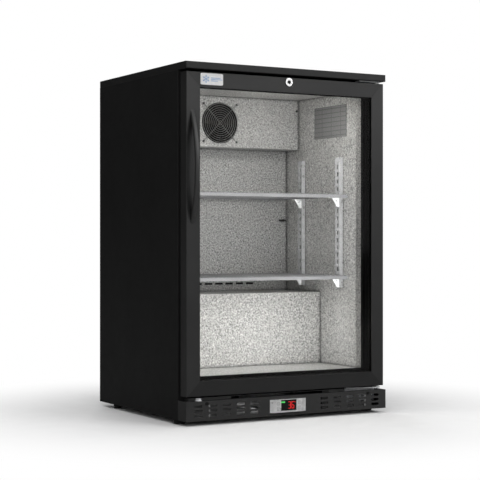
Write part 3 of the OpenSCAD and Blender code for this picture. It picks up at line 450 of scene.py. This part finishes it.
def smooth_group():
    """Geometry nodes that shade smooth but keep edges over the smooth angle sharp."""
    group = bpy.data.node_groups.new("smooth_by_angle", "GeometryNodeTree")
    group.interface.new_socket("Geometry", in_out="INPUT", socket_type="NodeSocketGeometry")
    group.interface.new_socket("Geometry", in_out="OUTPUT", socket_type="NodeSocketGeometry")
    make = group.nodes.new
    source = make("NodeGroupInput")
    angle = make("GeometryNodeInputMeshEdgeAngle")
    sharp = make("FunctionNodeCompare")
    sharp.operation = "GREATER_THAN"
    sharp.inputs[1].default_value = SMOOTH_ANGLE
    faces = make("GeometryNodeSetShadeSmooth")
    edges = make("GeometryNodeSetShadeSmooth")
    edges.domain = "EDGE"
    edges.inputs["Shade Smooth"].default_value = False
    target = make("NodeGroupOutput")
    link = group.links.new
    link(source.outputs[0], faces.inputs["Geometry"])
    link(faces.outputs[0], edges.inputs["Geometry"])
    link(angle.outputs[0], sharp.inputs[0])
    link(sharp.outputs[0], edges.inputs["Selection"])
    link(edges.outputs[0], target.inputs[0])
    return group


SMOOTH = smooth_group()


def add_smooth(obj):
    """Smooth shading over bends, crisp shading at edges."""
    modifier = obj.modifiers.new("smooth", "NODES")
    modifier.node_group = SMOOTH


def add_bevel(obj, width):
    """Small rounded edges where faces meet at more than the bevel angle."""
    edge = obj.modifiers.new("bevel", "BEVEL")
    edge.width = width
    edge.segments = 2
    edge.limit_method = "ANGLE"
    edge.angle_limit = BEVEL_ANGLE


def merge_flats(obj):
    """Joins the triangles of each flat face, so that a bevel sees only real edges."""
    flats = obj.modifiers.new("flats", "DECIMATE")
    flats.decimate_type = "DISSOLVE"
    flats.angle_limit = math.radians(0.2)


def finish_node(name, material, bevel):
    """Gives a CAD node its material, clean shading and, if bevel isn't 0, small rounded edges."""
    obj = nodes[name]
    obj.data.materials.clear()
    obj.data.materials.append(material)
    if "custom_normal" in obj.data.attributes:
        obj.data.attributes.remove(obj.data.attributes["custom_normal"])
    weld = obj.modifiers.new("weld", "WELD")
    weld.merge_threshold = 0.001 * MM
    if bevel:
        merge_flats(obj)
        add_bevel(obj, bevel)
    add_smooth(obj)
    if bevel:
        even = obj.modifiers.new("even_normals", "WEIGHTED_NORMAL")
        even.keep_sharp = True


# Each look, the size of its rounded edges in mm, and the nodes that have both.
CAD_FINISHES = [
    ("side", 0.3, ["side_panel_left", "side_panel_right"]),
    ("top", 0.3, ["top_panel"]),
    ("kick", 0.3, ["kick_plate", "rear_grille"]),
    ("galvanised", 0, ["rear_panel", "compartment_divider"]),
    ("galvanised", 0.4, ["condenser_fan_shroud"]),
    ("base", 0, ["base_frame"]),
    ("foam", 0, ["foam_insulation"]),
    ("liner", 0, ["inner_liner"]),
    ("cover", 0.3, ["evaporator_cover"]),
    ("duct", 0, ["rear_duct_panel"]),
    ("plate", 0.1, ["data_plate"]),
    ("lamp", 0, ["led_lamp"]),
    ("case", 0.2, ["controller_body"]),
    ("bezel", 0.5, ["controller_bezel"]),
    ("digits", 0, ["display_leds"]),
    ("button", 0.8, ["button_set", "button_light", "button_up", "button_down"]),
    ("zinc", 0.3, ["shelf_clips"]),
    ("zinc", 0.4, ["zinc_fasteners"]),
    ("zinc", 0.5, ["hinge_brackets"]),
    ("rack", 0.2, ["shelf_pilasters"]),
    ("screw", 0.3, ["black_screws"]),
    ("foot", 0.6, ["foot_front_left", "foot_front_right", "foot_rear_left", "foot_rear_right"]),
    ("foot", 1.0, ["compressor_mounts"]),
    ("rail", 0.3, ["door_rail_top", "door_rail_bottom"]),
    ("door", 0.3, ["door_stile_left", "door_stile_right"]),
    ("glass", 0, ["glass_panes"]),
    ("trim", 0, ["glass_spacer"]),
    ("trim", 0.4, ["front_trim"]),
    ("trim", 0.8, ["glazing_bead"]),
    ("nylon", 0.2, ["hinge_bushes"]),
    ("chrome", 0.6, ["lock_housing"]),
    ("plug", 0.3, ["lock_plug_and_cam"]),
    ("guard", 0, ["fan_guard"]),
    ("fan", 0.4, ["evaporator_fan_frame"]),
    ("coil", 0, ["evaporator_coil"]),
    ("fins", 0, ["evaporator_drip_tray", "condenser_coil"]),
    ("wire", 0.3, ["upper_shelf", "lower_shelf"]),
    ("black_plastic", 0.3, ["temperature_probe"]),
    ("black_plastic", 0.6, ["evaporation_tray"]),
    ("pot", 0.6, ["compressor"]),
]

for look, bevel_mm, node_names in CAD_FINISHES:
    for node_name in node_names:
        finish_node(node_name, LOOKS[look], bevel_mm * MM)

# ---------------------------------------------------------------- shapes, as (verts, faces)


def around(count):
    """Evenly spaced angles over a full turn."""
    return [2 * math.pi * k / count for k in range(count)]


def outward(verts, faces):
    """The same closed shape with all its faces looking outwards."""
    points = [Vector(v) - Vector(verts[0]) for v in verts]
    volume = 0
    for face in faces:
        for p, q in zip(face[1:], face[2:]):
            volume += points[face[0]].dot(points[p].cross(points[q]))
    if volume < 0:
        faces = [tuple(reversed(face)) for face in faces]
    return verts, faces


def merge_shapes(shapes):
    """Joins shapes into one, each turned outwards."""
    verts, faces = [], []
    for shape in shapes:
        some_verts, some_faces = outward(*shape)
        base = len(verts)
        verts.extend(some_verts)
        faces.extend(tuple(i + base for i in face) for face in some_faces)
    return verts, faces


def ring_sweep(rings, closed=False):
    """Faces over equal rings of points; capped at both ends unless closed."""
    verts = [p for ring in rings for p in ring]
    count = len(rings[0])
    total = len(rings)
    faces = []
    for i in range(total if closed else total - 1):
        a = i * count
        b = ((i + 1) % total) * count
        for k in range(count):
            n = (k + 1) % count
            faces.append((a + k, a + n, b + n, b + k))
    if not closed:
        faces.append(tuple(reversed(range(count))))
        faces.append(tuple(range((total - 1) * count, total * count)))
    return verts, faces


def superellipse(w, h, power, count):
    """Closed outline, w by h, between an ellipse and a rectangle."""
    points = []
    for a in around(count):
        c, s = math.cos(a), math.sin(a)
        points.append((w / 2 * math.copysign(abs(c) ** (2 / power), c),
                       h / 2 * math.copysign(abs(s) ** (2 / power), s)))
    return points


def turned(axis, start, profile, sides):
    """Solid of revolution about an axis through start: 0 for x, 1 for y and 2 for z.

    The profile lists the distance from start along the axis, and the radius there, both in mm.
    """
    across = [i for i in range(3) if i != axis]
    rings = []
    for along, radius in profile:
        ring = []
        for a in around(sides):
            point = list(start)
            point[axis] += along * MM
            point[across[0]] += radius * MM * math.cos(a)
            point[across[1]] += radius * MM * math.sin(a)
            ring.append(point)
        rings.append(ring)
    return ring_sweep(rings)


def tube(points, radius, sides):
    """Round tube along a path, carried along it without twist."""
    path = [Vector(p) for p in points]
    tangents = []
    for i in range(len(path)):
        step = path[min(i + 1, len(path) - 1)] - path[max(i - 1, 0)]
        tangents.append(step.normalized())
    side = tangents[0].orthogonal().normalized()
    rings = []
    for i, tangent in enumerate(tangents):
        if i:
            side = tangents[i - 1].rotation_difference(tangent) @ side
        other = tangent.cross(side)
        rings.append([path[i] + radius * (math.cos(a) * side + math.sin(a) * other)
                      for a in around(sides)])
    return ring_sweep(rings)


def rounded_path(points, radius):
    """The same corners with each bend turned into an arc-like curve."""
    steps = 8
    points = [Vector(p) for p in points]
    path = [points[0]]
    for before, corner, after in zip(points, points[1:], points[2:]):
        r = min(radius, (corner - before).length * 0.49, (after - corner).length * 0.49)
        a = corner + (before - corner).normalized() * r
        c = corner + (after - corner).normalized() * r
        for k in range(steps + 1):
            s = k / steps
            path.append(a * (1 - s) ** 2 + corner * 2 * s * (1 - s) + c * s * s)
    path.append(points[-1])
    return path


def spline_path(points):
    """A smooth path from the first point to the last that passes near the others."""
    curve = bpy.data.curves.new("smooth_path", "CURVE")
    curve.dimensions = "3D"
    spline = curve.splines.new("NURBS")
    spline.points.add(len(points) - 1)
    for place, point in zip(spline.points, points):
        place.co = (*point, 1)
    spline.use_endpoint_u = True
    spline.order_u = 4
    spline.resolution_u = 3
    helper = bpy.data.objects.new("smooth_path", curve)
    bpy.context.scene.collection.objects.link(helper)
    graph = bpy.context.evaluated_depsgraph_get()
    path = [v.co.copy() for v in helper.evaluated_get(graph).to_mesh().vertices]
    bpy.data.objects.remove(helper)
    return path


def box_shape(low, high):
    """Plain box between two opposite corners."""
    corners = [(x, y, z) for z in (low[2], high[2]) for y in (low[1], high[1]) for x in (low[0], high[0])]
    faces = [(0, 2, 3, 1), (4, 5, 7, 6), (0, 1, 5, 4), (2, 6, 7, 3), (0, 4, 6, 2), (1, 3, 7, 5)]
    return corners, faces


# ---------------------------------------------------------------- pieces built here


def add_piece(name, shape, look, body, replaced=None, bevel=0.0):
    """Adds one shape that rides on a body, in place of a CAD node where there is one."""
    verts, faces = outward(*shape)
    mesh = bpy.data.meshes.new(name)
    mesh.from_pydata([tuple(v) for v in verts], [], faces)
    mesh.validate()
    mesh.polygons.foreach_set("use_smooth", [True] * len(mesh.polygons))
    mesh.materials.append(LOOKS[look])
    obj = bpy.data.objects.new(name, mesh)
    bpy.context.scene.collection.objects.link(obj)
    if bevel:
        add_bevel(obj, bevel)
    add_smooth(obj)
    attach(obj, body)
    if replaced:
        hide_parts(replaced)


def build_handle():
    """Bow strap: rounded section, slimmer towards its ends, which turn square onto the door's face."""
    low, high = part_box("door_handle")
    half = (high.z - low.z) / 2
    out = high.y - low.y
    radius = (half * half + out * out) / (2 * out)
    thick = 9 * MM
    mid_radius = radius - thick / 2
    x = (low.x + high.x) / 2
    z = (low.z + high.z) / 2
    reach = math.asin(half / radius)
    steps = 48
    rings = []
    for i in range(steps + 1):
        s = 2 * i / steps - 1
        a = s * reach
        taper = 1 - 0.16 * abs(s) ** 3
        ring = []
        for u, v in superellipse((high.x - low.x) * taper, thick, 4.5, 28):
            r = mid_radius + v
            y = low.y + radius - r * math.cos(a)
            ring.append((x + u, min(y, high.y), z + r * math.sin(a)))
        rings.append(ring)
    add_piece("bow_handle", ring_sweep(rings), "handle", "door", "door_handle", 0.3 * MM)


GASKET_WIDTH = 12  # mm

# Half of the gasket's section, from its foot to its head: distance from the section's centre line in
# mm, and share of its depth.
GASKET_HALF_SECTION = [
    (5.2, 0.0), (5.6, 0.12), (4.6, 0.2), (2.4, 0.24), (2.0, 0.3), (4.2, 0.4), (4.6, 0.47), (2.6, 0.56),
    (2.6, 0.62), (5.4, 0.68), (6.0, 0.76), (6.0, 0.93), (5.5, 1.0),
]


def build_gasket():
    """Extruded magnetic gasket: dart foot, pleated bellows and flat magnet head, mitred at the corners."""
    low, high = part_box("door_gasket")
    depth = high.y - low.y
    middle = GASKET_WIDTH / 2
    outline = [(middle + u, v) for u, v in GASKET_HALF_SECTION]
    outline += [(middle - u, v) for u, v in reversed(GASKET_HALF_SECTION)]
    corners = [(-1, -1), (1, -1), (1, 1), (-1, 1)]
    mid = (low + high) / 2
    half = (high - low) / 2
    per_side = 40
    rings = []
    for c in range(4):
        start, end = corners[c], corners[(c + 1) % 4]
        upright = start[0] == end[0]
        for k in range(per_side):
            s = k / per_side
            sway = 0.12 * MM * math.sin(7 * math.pi * s + c) * math.sin(math.pi * s)
            ring = []
            for u, v in outline:
                x0, x1 = (mid.x + e[0] * (half.x - u * MM) for e in (start, end))
                z0, z1 = (mid.z + e[1] * (half.z - u * MM) for e in (start, end))
                aside = sway * (1 - abs(2 * v - 1))
                x = x0 + (x1 - x0) * s + (aside if upright else 0)
                z = z0 + (z1 - z0) * s + (0 if upright else aside)
                ring.append((x, low.y + v * depth, z))
            rings.append(ring)
    add_piece("magnetic_gasket", ring_sweep(rings, closed=True), "rubber", "door", "door_gasket")


# An axial fan: x and z of its axis, front and back y, hub and tip radius, number of blades, their
# width and how far their tips lead, in radians; nose is -1 for a hub domed to the front, 1 to the back.
Fan = namedtuple("Fan", "center front back hub tip blades chord lead nose")

HUB_PROFILE = [(0.02, 0.98), (0.45, 0.95), (0.8, 0.84), (0.95, 0.66), (1.0, 0.4), (1.0, -1.0),
               (0.88, -1.0), (0.86, 0.3), (0.02, 0.5)]  # shares of the radius and of half the depth


def hub_shape(fan):
    """Hollow hub with a domed nose."""
    mid = (fan.front + fan.back) / 2
    half_depth = (fan.back - fan.front) / 2
    rings = []
    for a in around(48):
        rings.append([(fan.center[0] + fan.hub * r * math.cos(a), mid + fan.nose * half_depth * d,
                       fan.center[1] + fan.hub * r * math.sin(a)) for r, d in HUB_PROFILE])
    return ring_sweep(rings, closed=True)


def blade_point(fan, start, out, over, side):
    """One point of a blade that is twisted, cambered, swept forward and rounded at its tip.

    out runs from 0 at the hub to 1 at the tip, over from -0.5 to 0.5 across the blade, and side is 1
    or -1 for its two skins.
    """
    root = fan.hub * 0.97
    r = root + (fan.tip - root) * out
    pitch = math.radians(40 - 16 * out)
    width = fan.chord * (0.78 + 0.5 * out - 0.22 * out ** 4)
    along = over * width
    camber = 0.07 * width * (1 - 4 * over * over)
    thick = (0.9 - 0.35 * out) * MM * max(0.15, 1 - (2 * abs(over)) ** 3)
    angle = start + fan.lead * out * out + along * math.cos(pitch) / r
    y = (fan.front + fan.back) / 2 + along * math.sin(pitch) + camber + side * thick
    round_tip = 1 - 0.25 * (2 * abs(over)) ** 4 * out ** 6
    reach = root + (r - root) * round_tip
    return (fan.center[0] + reach * math.cos(angle), min(max(y, fan.front), fan.back),
            fan.center[1] + reach * math.sin(angle))


def blade_shape(fan, start):
    """One blade: a front skin, a back skin and the rim between them."""
    radial, across = 12, 10
    cols = across + 1
    layer = (radial + 1) * cols
    verts = [blade_point(fan, start, i / radial, j / across - 0.5, side)
             for side in (1, -1) for i in range(radial + 1) for j in range(cols)]
    faces = []
    for i in range(radial):
        for j in range(across):
            a = i * cols + j
            faces.append((a, a + 1, a + cols + 1, a + cols))
            faces.append((layer + a, layer + a + cols, layer + a + cols + 1, layer + a + 1))
    hub_edge = list(range(cols))
    trailing = [i * cols + across for i in range(1, radial + 1)]
    tip_edge = [radial * cols + j for j in range(across - 1, -1, -1)]
    leading = [i * cols for i in range(radial - 1, 0, -1)]
    rim = hub_edge + trailing + tip_edge + leading
    for p, q in zip(rim, rim[1:] + rim[:1]):
        faces.append((q, p, layer + p, layer + q))
    return verts, faces


def fan_shape(fan):
    """Hub and blades together."""
    return merge_shapes([hub_shape(fan)] + [blade_shape(fan, start) for start in around(fan.blades)])


def build_fans():
    """The rotors of the evaporator's fan and of the condenser's fan."""
    low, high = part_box("evaporator_fan_rotor")
    cooling = Fan((0, 0.787), low.y, high.y, 19 * MM, 52.5 * MM, 7, 36 * MM, 0.35, -1)
    add_piece("evaporator_fan_blades", fan_shape(cooling), "fan", "evaporator_fan", "evaporator_fan_rotor")
    low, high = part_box("condenser_fan_rotor")
    venting = Fan((0.165, 0.129), low.y, high.y, 20 * MM, 87 * MM, 5, 62 * MM, 0.3, 1)
    add_piece("condenser_fan_blades", fan_shape(venting), "white", "condenser_fan", "condenser_fan_rotor")


def bar_shape(start, end, wide, front, back):
    """Flat bar between two points of the x-z plane, a little narrower at its end."""
    along = (end - start).normalized()
    across = Vector((-along.z, 0, along.x)) * wide / 2
    base = [start - across, start + across, end + across * 0.7, end - across * 0.7]
    verts = [(p.x, y, p.z) for y in (back, front) for p in base]
    faces = [(0, 1, 2, 3), (7, 6, 5, 4), (0, 4, 5, 1), (1, 5, 6, 2), (2, 6, 7, 3), (3, 7, 4, 0)]
    return verts, faces


def heading(angle):
    """Unit vector in the x-z plane."""
    return Vector((math.cos(angle), 0, math.sin(angle)))


def snowflake_bars(center, size):
    """Start, end and width of each bar of a six-armed snowflake with two pairs of twigs on each arm."""
    bars = []
    for turn in around(6):
        a = math.pi / 6 + turn
        bars.append((center + heading(a) * 0.4 * MM, center + heading(a) * size, 1.3 * MM))
        for place, length in ((0.45, 0.34), (0.7, 0.24)):
            root = center + heading(a) * size * place
            for side in (-1, 1):
                twig = heading(a + side * math.pi / 3.4) * size * length
                bars.append((root, root + twig, 0.9 * MM))
    return bars


def build_badge():
    """White badge plate with a raised rim, and a plain light blue snowflake beside three blank bars."""
    low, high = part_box("door_badge")
    mid = (low + high) / 2
    w = high.x - low.x
    h = high.z - low.z
    deep = high.y - low.y
    face_y = low.y + 0.3 * deep
    rim = [(0, high.y), (0, low.y + 0.5 * deep), (0.5 * MM, low.y + 0.15 * deep), (1.1 * MM, low.y),
           (1.9 * MM, low.y), (2.3 * MM, face_y)]
    rings = []
    for inset, y in rim:
        outline = superellipse(w - 2 * inset, h - 2 * inset, 14, 64)
        rings.append([(mid.x + u, y, mid.z + v) for u, v in outline])
    add_piece("door_badge_plate", ring_sweep(rings), "badge", "door", "door_badge")
    bars = snowflake_bars(Vector((mid.x - w * 0.26, 0, mid.z)), h * 0.36)
    for up, length in ((3.2, 0.42), (-0.4, 0.5), (-4.0, 0.3)):
        start = Vector((mid.x - w * 0.04, 0, mid.z + up * MM))
        bars.append((start, start + Vector((w * length, 0, 0)), 1.6 * MM))
    mark = merge_shapes([bar_shape(*bar, low.y, face_y) for bar in bars])
    add_piece("door_badge_mark", mark, "badge_blue", "door")


def build_refrigerant_lines():
    """Copper tubes with real bends, the filter drier with necked ends, and the fine capillary."""
    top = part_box("compressor")[1].z - 2 * MM
    shroud_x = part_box("condenser_fan_shroud")[0].x
    pipe_x = shroud_x - 20 * MM
    coil_x = shroud_x + 8 * MM
    coil_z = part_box("condenser_coil")[0].z + 22 * MM
    drier_x = 0.020
    drier_y = LIP_Y + 0.330
    liquid_y = LIP_Y + 0.420
    gas_y = LIP_Y + 0.446
    pot_y = LIP_Y + 0.350
    suction_y = LIP_Y + 0.450
    gas = [(-0.110, pot_y, top), (-0.110, pot_y, 0.250), (pipe_x, pot_y, 0.250), (pipe_x, gas_y, 0.250),
           (pipe_x, gas_y, coil_z), (coil_x, gas_y, coil_z)]
    liquid = [(coil_x, liquid_y, coil_z), (pipe_x, liquid_y, coil_z), (pipe_x, liquid_y, 0.062),
              (pipe_x, drier_y, 0.062), (drier_x, drier_y, 0.062), (drier_x, drier_y, 0.099)]
    capillary = [(drier_x, drier_y, 0.176), (drier_x, drier_y, 0.228), (-0.040, drier_y, 0.228),
                 (-0.040, drier_y, 0.270)]
    suction = [(-0.180, liquid_y, top), (-0.180, liquid_y, 0.258), (-0.180, suction_y, 0.258),
               (-0.180, suction_y, 0.270)]
    tubes = [(gas, 3.2, 18), (liquid, 3.0, 10), (capillary, 1.6, 12), (suction, 4.0, 12)]
    shapes = [tube(rounded_path(points, bend * MM), radius * MM, 20) for points, radius, bend in tubes]
    necked = [(0, 3.2), (4, 3.4), (10, 7.5), (15, 10), (69, 10), (74, 7.5), (80, 3.4), (84, 2.4)]
    shapes.append(turned(2, (drier_x, drier_y, 0.096), necked, 40))
    add_piece("copper_lines", merge_shapes(shapes), "copper", "cabinet", "refrigerant_lines")


CORD_Y = 0.248  # the cord and its plug lie flat against the louvred rear cover
PLUG_Z = 0.150
CORD_EXIT = (-0.262, 0.052)  # x and z where the cord leaves the cover


def cord_points():
    """Control points of the cord: out of the cover, round its coil, and on to the plug."""
    exit_x, exit_z = CORD_EXIT
    points = [(exit_x, 0.232, exit_z), (exit_x, 0.242, 0.053), (exit_x, 0.247, 0.062),
              (-0.260, CORD_Y, 0.082), (-0.250, CORD_Y, 0.106), (-0.232, 0.247, 0.128)]
    center_x, center_z = -0.140, PLUG_Z
    turns = 2.58
    steps = 150
    for k in range(steps + 1):
        s = k / steps
        a = math.pi + 0.25 - 2 * math.pi * turns * s
        r = 0.0725 + 0.0022 * math.sin(5 * a + 4 * s) + 0.0015 * math.sin(2.3 * a)
        points.append((center_x + r * math.cos(a), 0.241 + 0.0155 * s, center_z + r * math.sin(a)))
    last = points[-1]
    points += [(last[0] + 0.012, 0.254, last[2] + 0.012), (-0.040, 0.251, 0.151),
               (-0.026, CORD_Y, PLUG_Z), (-0.011, CORD_Y, PLUG_Z)]
    return points


def ribbed(radii, pitch):
    """Profile of a ribbed sleeve: its radii at an even pitch."""
    return [(i * pitch, radius) for i, radius in enumerate(radii)]


def plug_body():
    """Moulded plug, gripped at its waist."""
    rings = []
    for x, w, h in ((-13, 17, 20), (-11, 22, 26), (-4, 24, 30), (10, 23, 29), (22, 24, 30), (30, 23, 29),
                    (33, 21, 27)):
        rings.append([(x * MM, CORD_Y + u * MM, PLUG_Z + v * MM) for u, v in superellipse(w, h, 4, 40)])
    return ring_sweep(rings)


def build_cord():
    """Coiled mains cord with a ribbed strain relief and a moulded three-pin plug."""
    cover_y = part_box("rear_grille")[0].y - 2 * MM
    relief = ribbed([8, 8, 9.5, 9.5, 6.5, 7.4, 6.2, 7.0, 5.6, 6.2, 4.6], 1.5)
    tail = ribbed([4.4, 5.6, 4.9, 6.2, 5.4, 7.0, 6.0, 8.0, 8.6], 2.6)
    shapes = [tube(spline_path(cord_points()), 4 * MM, 16),
              turned(1, (CORD_EXIT[0], cover_y, CORD_EXIT[1]), relief, 32),
              turned(0, (-0.034, CORD_Y, PLUG_Z), tail, 32),
              plug_body()]
    add_piece("mains_cord", merge_shapes(shapes), "cord", "cabinet", "power_cord")


def build_pins():
    """Two flat pins, and a round earth pin behind them."""
    shapes = []
    for up in (-6.3, 6.3):
        low_z = PLUG_Z + (up - 0.75) * MM
        high_z = PLUG_Z + (up + 0.75) * MM
        shapes.append(box_shape((0.032, 0.2405, low_z), (0.051, 0.247, high_z)))
    shapes.append(turned(0, (0, 0.256, PLUG_Z), [(32, 2.4), (50, 2.4), (52.2, 1.8), (53, 0.8)], 24))
    add_piece("plug_pins", merge_shapes(shapes), "zinc", "cabinet", bevel=0.2 * MM)


build_handle()
build_gasket()
build_fans()
build_badge()
build_refrigerant_lines()
build_cord()
build_pins()

# ---------------------------------------------------------------- stage, light and camera

ROOM_FRONT = 0.42  # strength of the room's light in front of the object, and behind it
ROOM_BACK = 0.05
FLOOR_HALF = 40.0
FLOOR_BOUNCE = 0.3  # share of the floor's paleness that light bouncing off it gets
FADE_START = 0.35  # distances over which the floor turns into the white background
FADE_END = 1.0
CAMERA_PLACE = (-1.8675, -3.2633, 0.457)
CAMERA_AIM = (0.4954, 0.8686, 0)  # direction it looks in
CAMERA_LENS = 103.8
CAMERA_SENSOR = 36
CAMERA_SHIFT = 0.0020833


def build_floor():
    """Pale floor that fades into the white background away from the object."""
    mesh = bpy.data.meshes.new("floor")
    corners = [(x * FLOOR_HALF, y * FLOOR_HALF, 0) for x, y in ((-1, -1), (1, -1), (1, 1), (-1, 1))]
    mesh.from_pydata(corners, [], [(0, 1, 2, 3)])
    t = Tree("pale_floor")
    seen = t.add("LightPath", out="Is Camera Ray")
    grain = t.remap(t.noise(20, 3), 0.3, 0.7, 0.9, 0.93)
    albedo = t.math("MULTIPLY", grain, t.remap(seen, 0, 1, FLOOR_BOUNCE, 1.0))
    paint = t.add("BsdfDiffuse", Color=t.add("CombineColor", Red=albedo, Green=albedo, Blue=albedo))
    away = t.add("VectorMath", out="Value", props={"operation": "LENGTH"},
                 i0=t.add("TexCoord", out="Object"))
    fade = t.add("MapRange", props={"interpolation_type": "SMOOTHSTEP"}, Value=away, From_Min=FADE_START,
                 From_Max=FADE_END, To_Min=0.0, To_Max=1.0)
    white = t.add("Emission", Color=(1, 1, 1), Strength=1.0)
    whitened = t.math("MULTIPLY", fade, seen)
    mesh.materials.append(t.surface(t.add("MixShader", i0=whitened, i1=paint, i2=white)))
    floor = bpy.data.objects.new("floor", mesh)
    bpy.context.scene.collection.objects.link(floor)


def build_world():
    """White to the camera; a soft grey room, dark behind, to everything else."""
    world = bpy.data.worlds.new("studio")
    bpy.context.scene.world = world
    world.use_nodes = True
    tree = world.node_tree
    tree.nodes.clear()
    make = tree.nodes.new
    link = tree.links.new
    coord = make("ShaderNodeTexCoord")
    split = make("ShaderNodeSeparateXYZ")
    link(coord.outputs["Generated"], split.inputs[0])
    ramp = make("ShaderNodeMapRange")
    link(split.outputs["Y"], ramp.inputs["Value"])
    ramp.inputs["From Min"].default_value = -0.7
    ramp.inputs["From Max"].default_value = 0.5
    ramp.inputs["To Min"].default_value = ROOM_FRONT
    ramp.inputs["To Max"].default_value = ROOM_BACK
    room = make("ShaderNodeBackground")
    link(ramp.outputs[0], room.inputs["Strength"])
    white = make("ShaderNodeBackground")
    white.inputs["Strength"].default_value = 1.0
    white.inputs["Color"].default_value = (1, 1, 1, 1)
    path = make("ShaderNodeLightPath")
    mix = make("ShaderNodeMixShader")
    link(path.outputs["Is Camera Ray"], mix.inputs[0])
    link(room.outputs[0], mix.inputs[1])
    link(white.outputs[0], mix.inputs[2])
    out = make("ShaderNodeOutputWorld")
    link(mix.outputs[0], out.inputs["Surface"])


def area_light(name, place, target, size, power, color=(1, 1, 1), mirrored=True):
    """Rectangular light at place, aimed at target; unless mirrored, it shows in no reflection."""
    light = bpy.data.lights.new(name, "AREA")
    light.shape = "RECTANGLE"
    light.size, light.size_y = size
    light.energy = power
    light.color = color
    obj = bpy.data.objects.new(name, light)
    bpy.context.scene.collection.objects.link(obj)
    obj.location = place
    obj.rotation_euler = (Vector(target) - Vector(place)).to_track_quat("-Z", "Y").to_euler()
    obj.visible_camera = False
    obj.visible_glossy = mirrored


def build_room_lights():
    """Soft light from the front, from above and from behind."""
    area_light("key", (2.2, -3.4, 2.4), (0, 0, 0.55), (2.4, 2.0), 60)
    area_light("top", (-0.4, -0.6, 3.2), (0, 0, 0.4), (2.5, 2.5), 45)
    area_light("left_front", (-2.6, -3.0, 1.6), (0, 0, 0.5), (1.2, 2.0), 22)
    area_light("behind", (0.6, 3.4, 1.5), (0, 0.2, 0.35), (2.0, 1.6), 75)


def build_inner_lights():
    """Light from the lamp, the even glow in the cooled space, and a little under the body."""
    area_light("lamp_light", (0, -0.176, 0.846), (0, 0.10, 0.3), (0.37, 0.012), 2.2, (1.0, 0.985, 0.96),
               mirrored=False)
    area_light("inner_fill", (0, -0.165, 0.45), (0, 0.1, 0.45), (0.52, 0.68), 4.8, mirrored=False)
    area_light("low_fill", (0, -0.14, 0.22), (0, 0.1, 0.22), (0.46, 0.14), 1.2, mirrored=False)
    area_light("plinth_glow", (-0.04, -0.07, 0.060), (-0.04, -0.07, 0), (0.10, 0.17), 0.12,
               mirrored=False)


def build_camera():
    """Level camera in front of the left side, at mid height."""
    data = bpy.data.cameras.new("camera")
    data.lens = CAMERA_LENS
    data.sensor_width = CAMERA_SENSOR
    data.shift_y = CAMERA_SHIFT
    camera = bpy.data.objects.new("camera", data)
    bpy.context.scene.collection.objects.link(camera)
    camera.location = CAMERA_PLACE
    camera.rotation_euler = Vector(CAMERA_AIM).to_track_quat("-Z", "Y").to_euler()
    bpy.context.scene.camera = camera


build_floor()
build_world()
build_room_lights()
build_inner_lights()
build_camera()

scene = bpy.context.scene
scene.view_settings.view_transform = "Standard"
scene.cycles.max_bounces = 12
scene.cycles.transparent_max_bounces = 16
scene.cycles.use_denoising = True
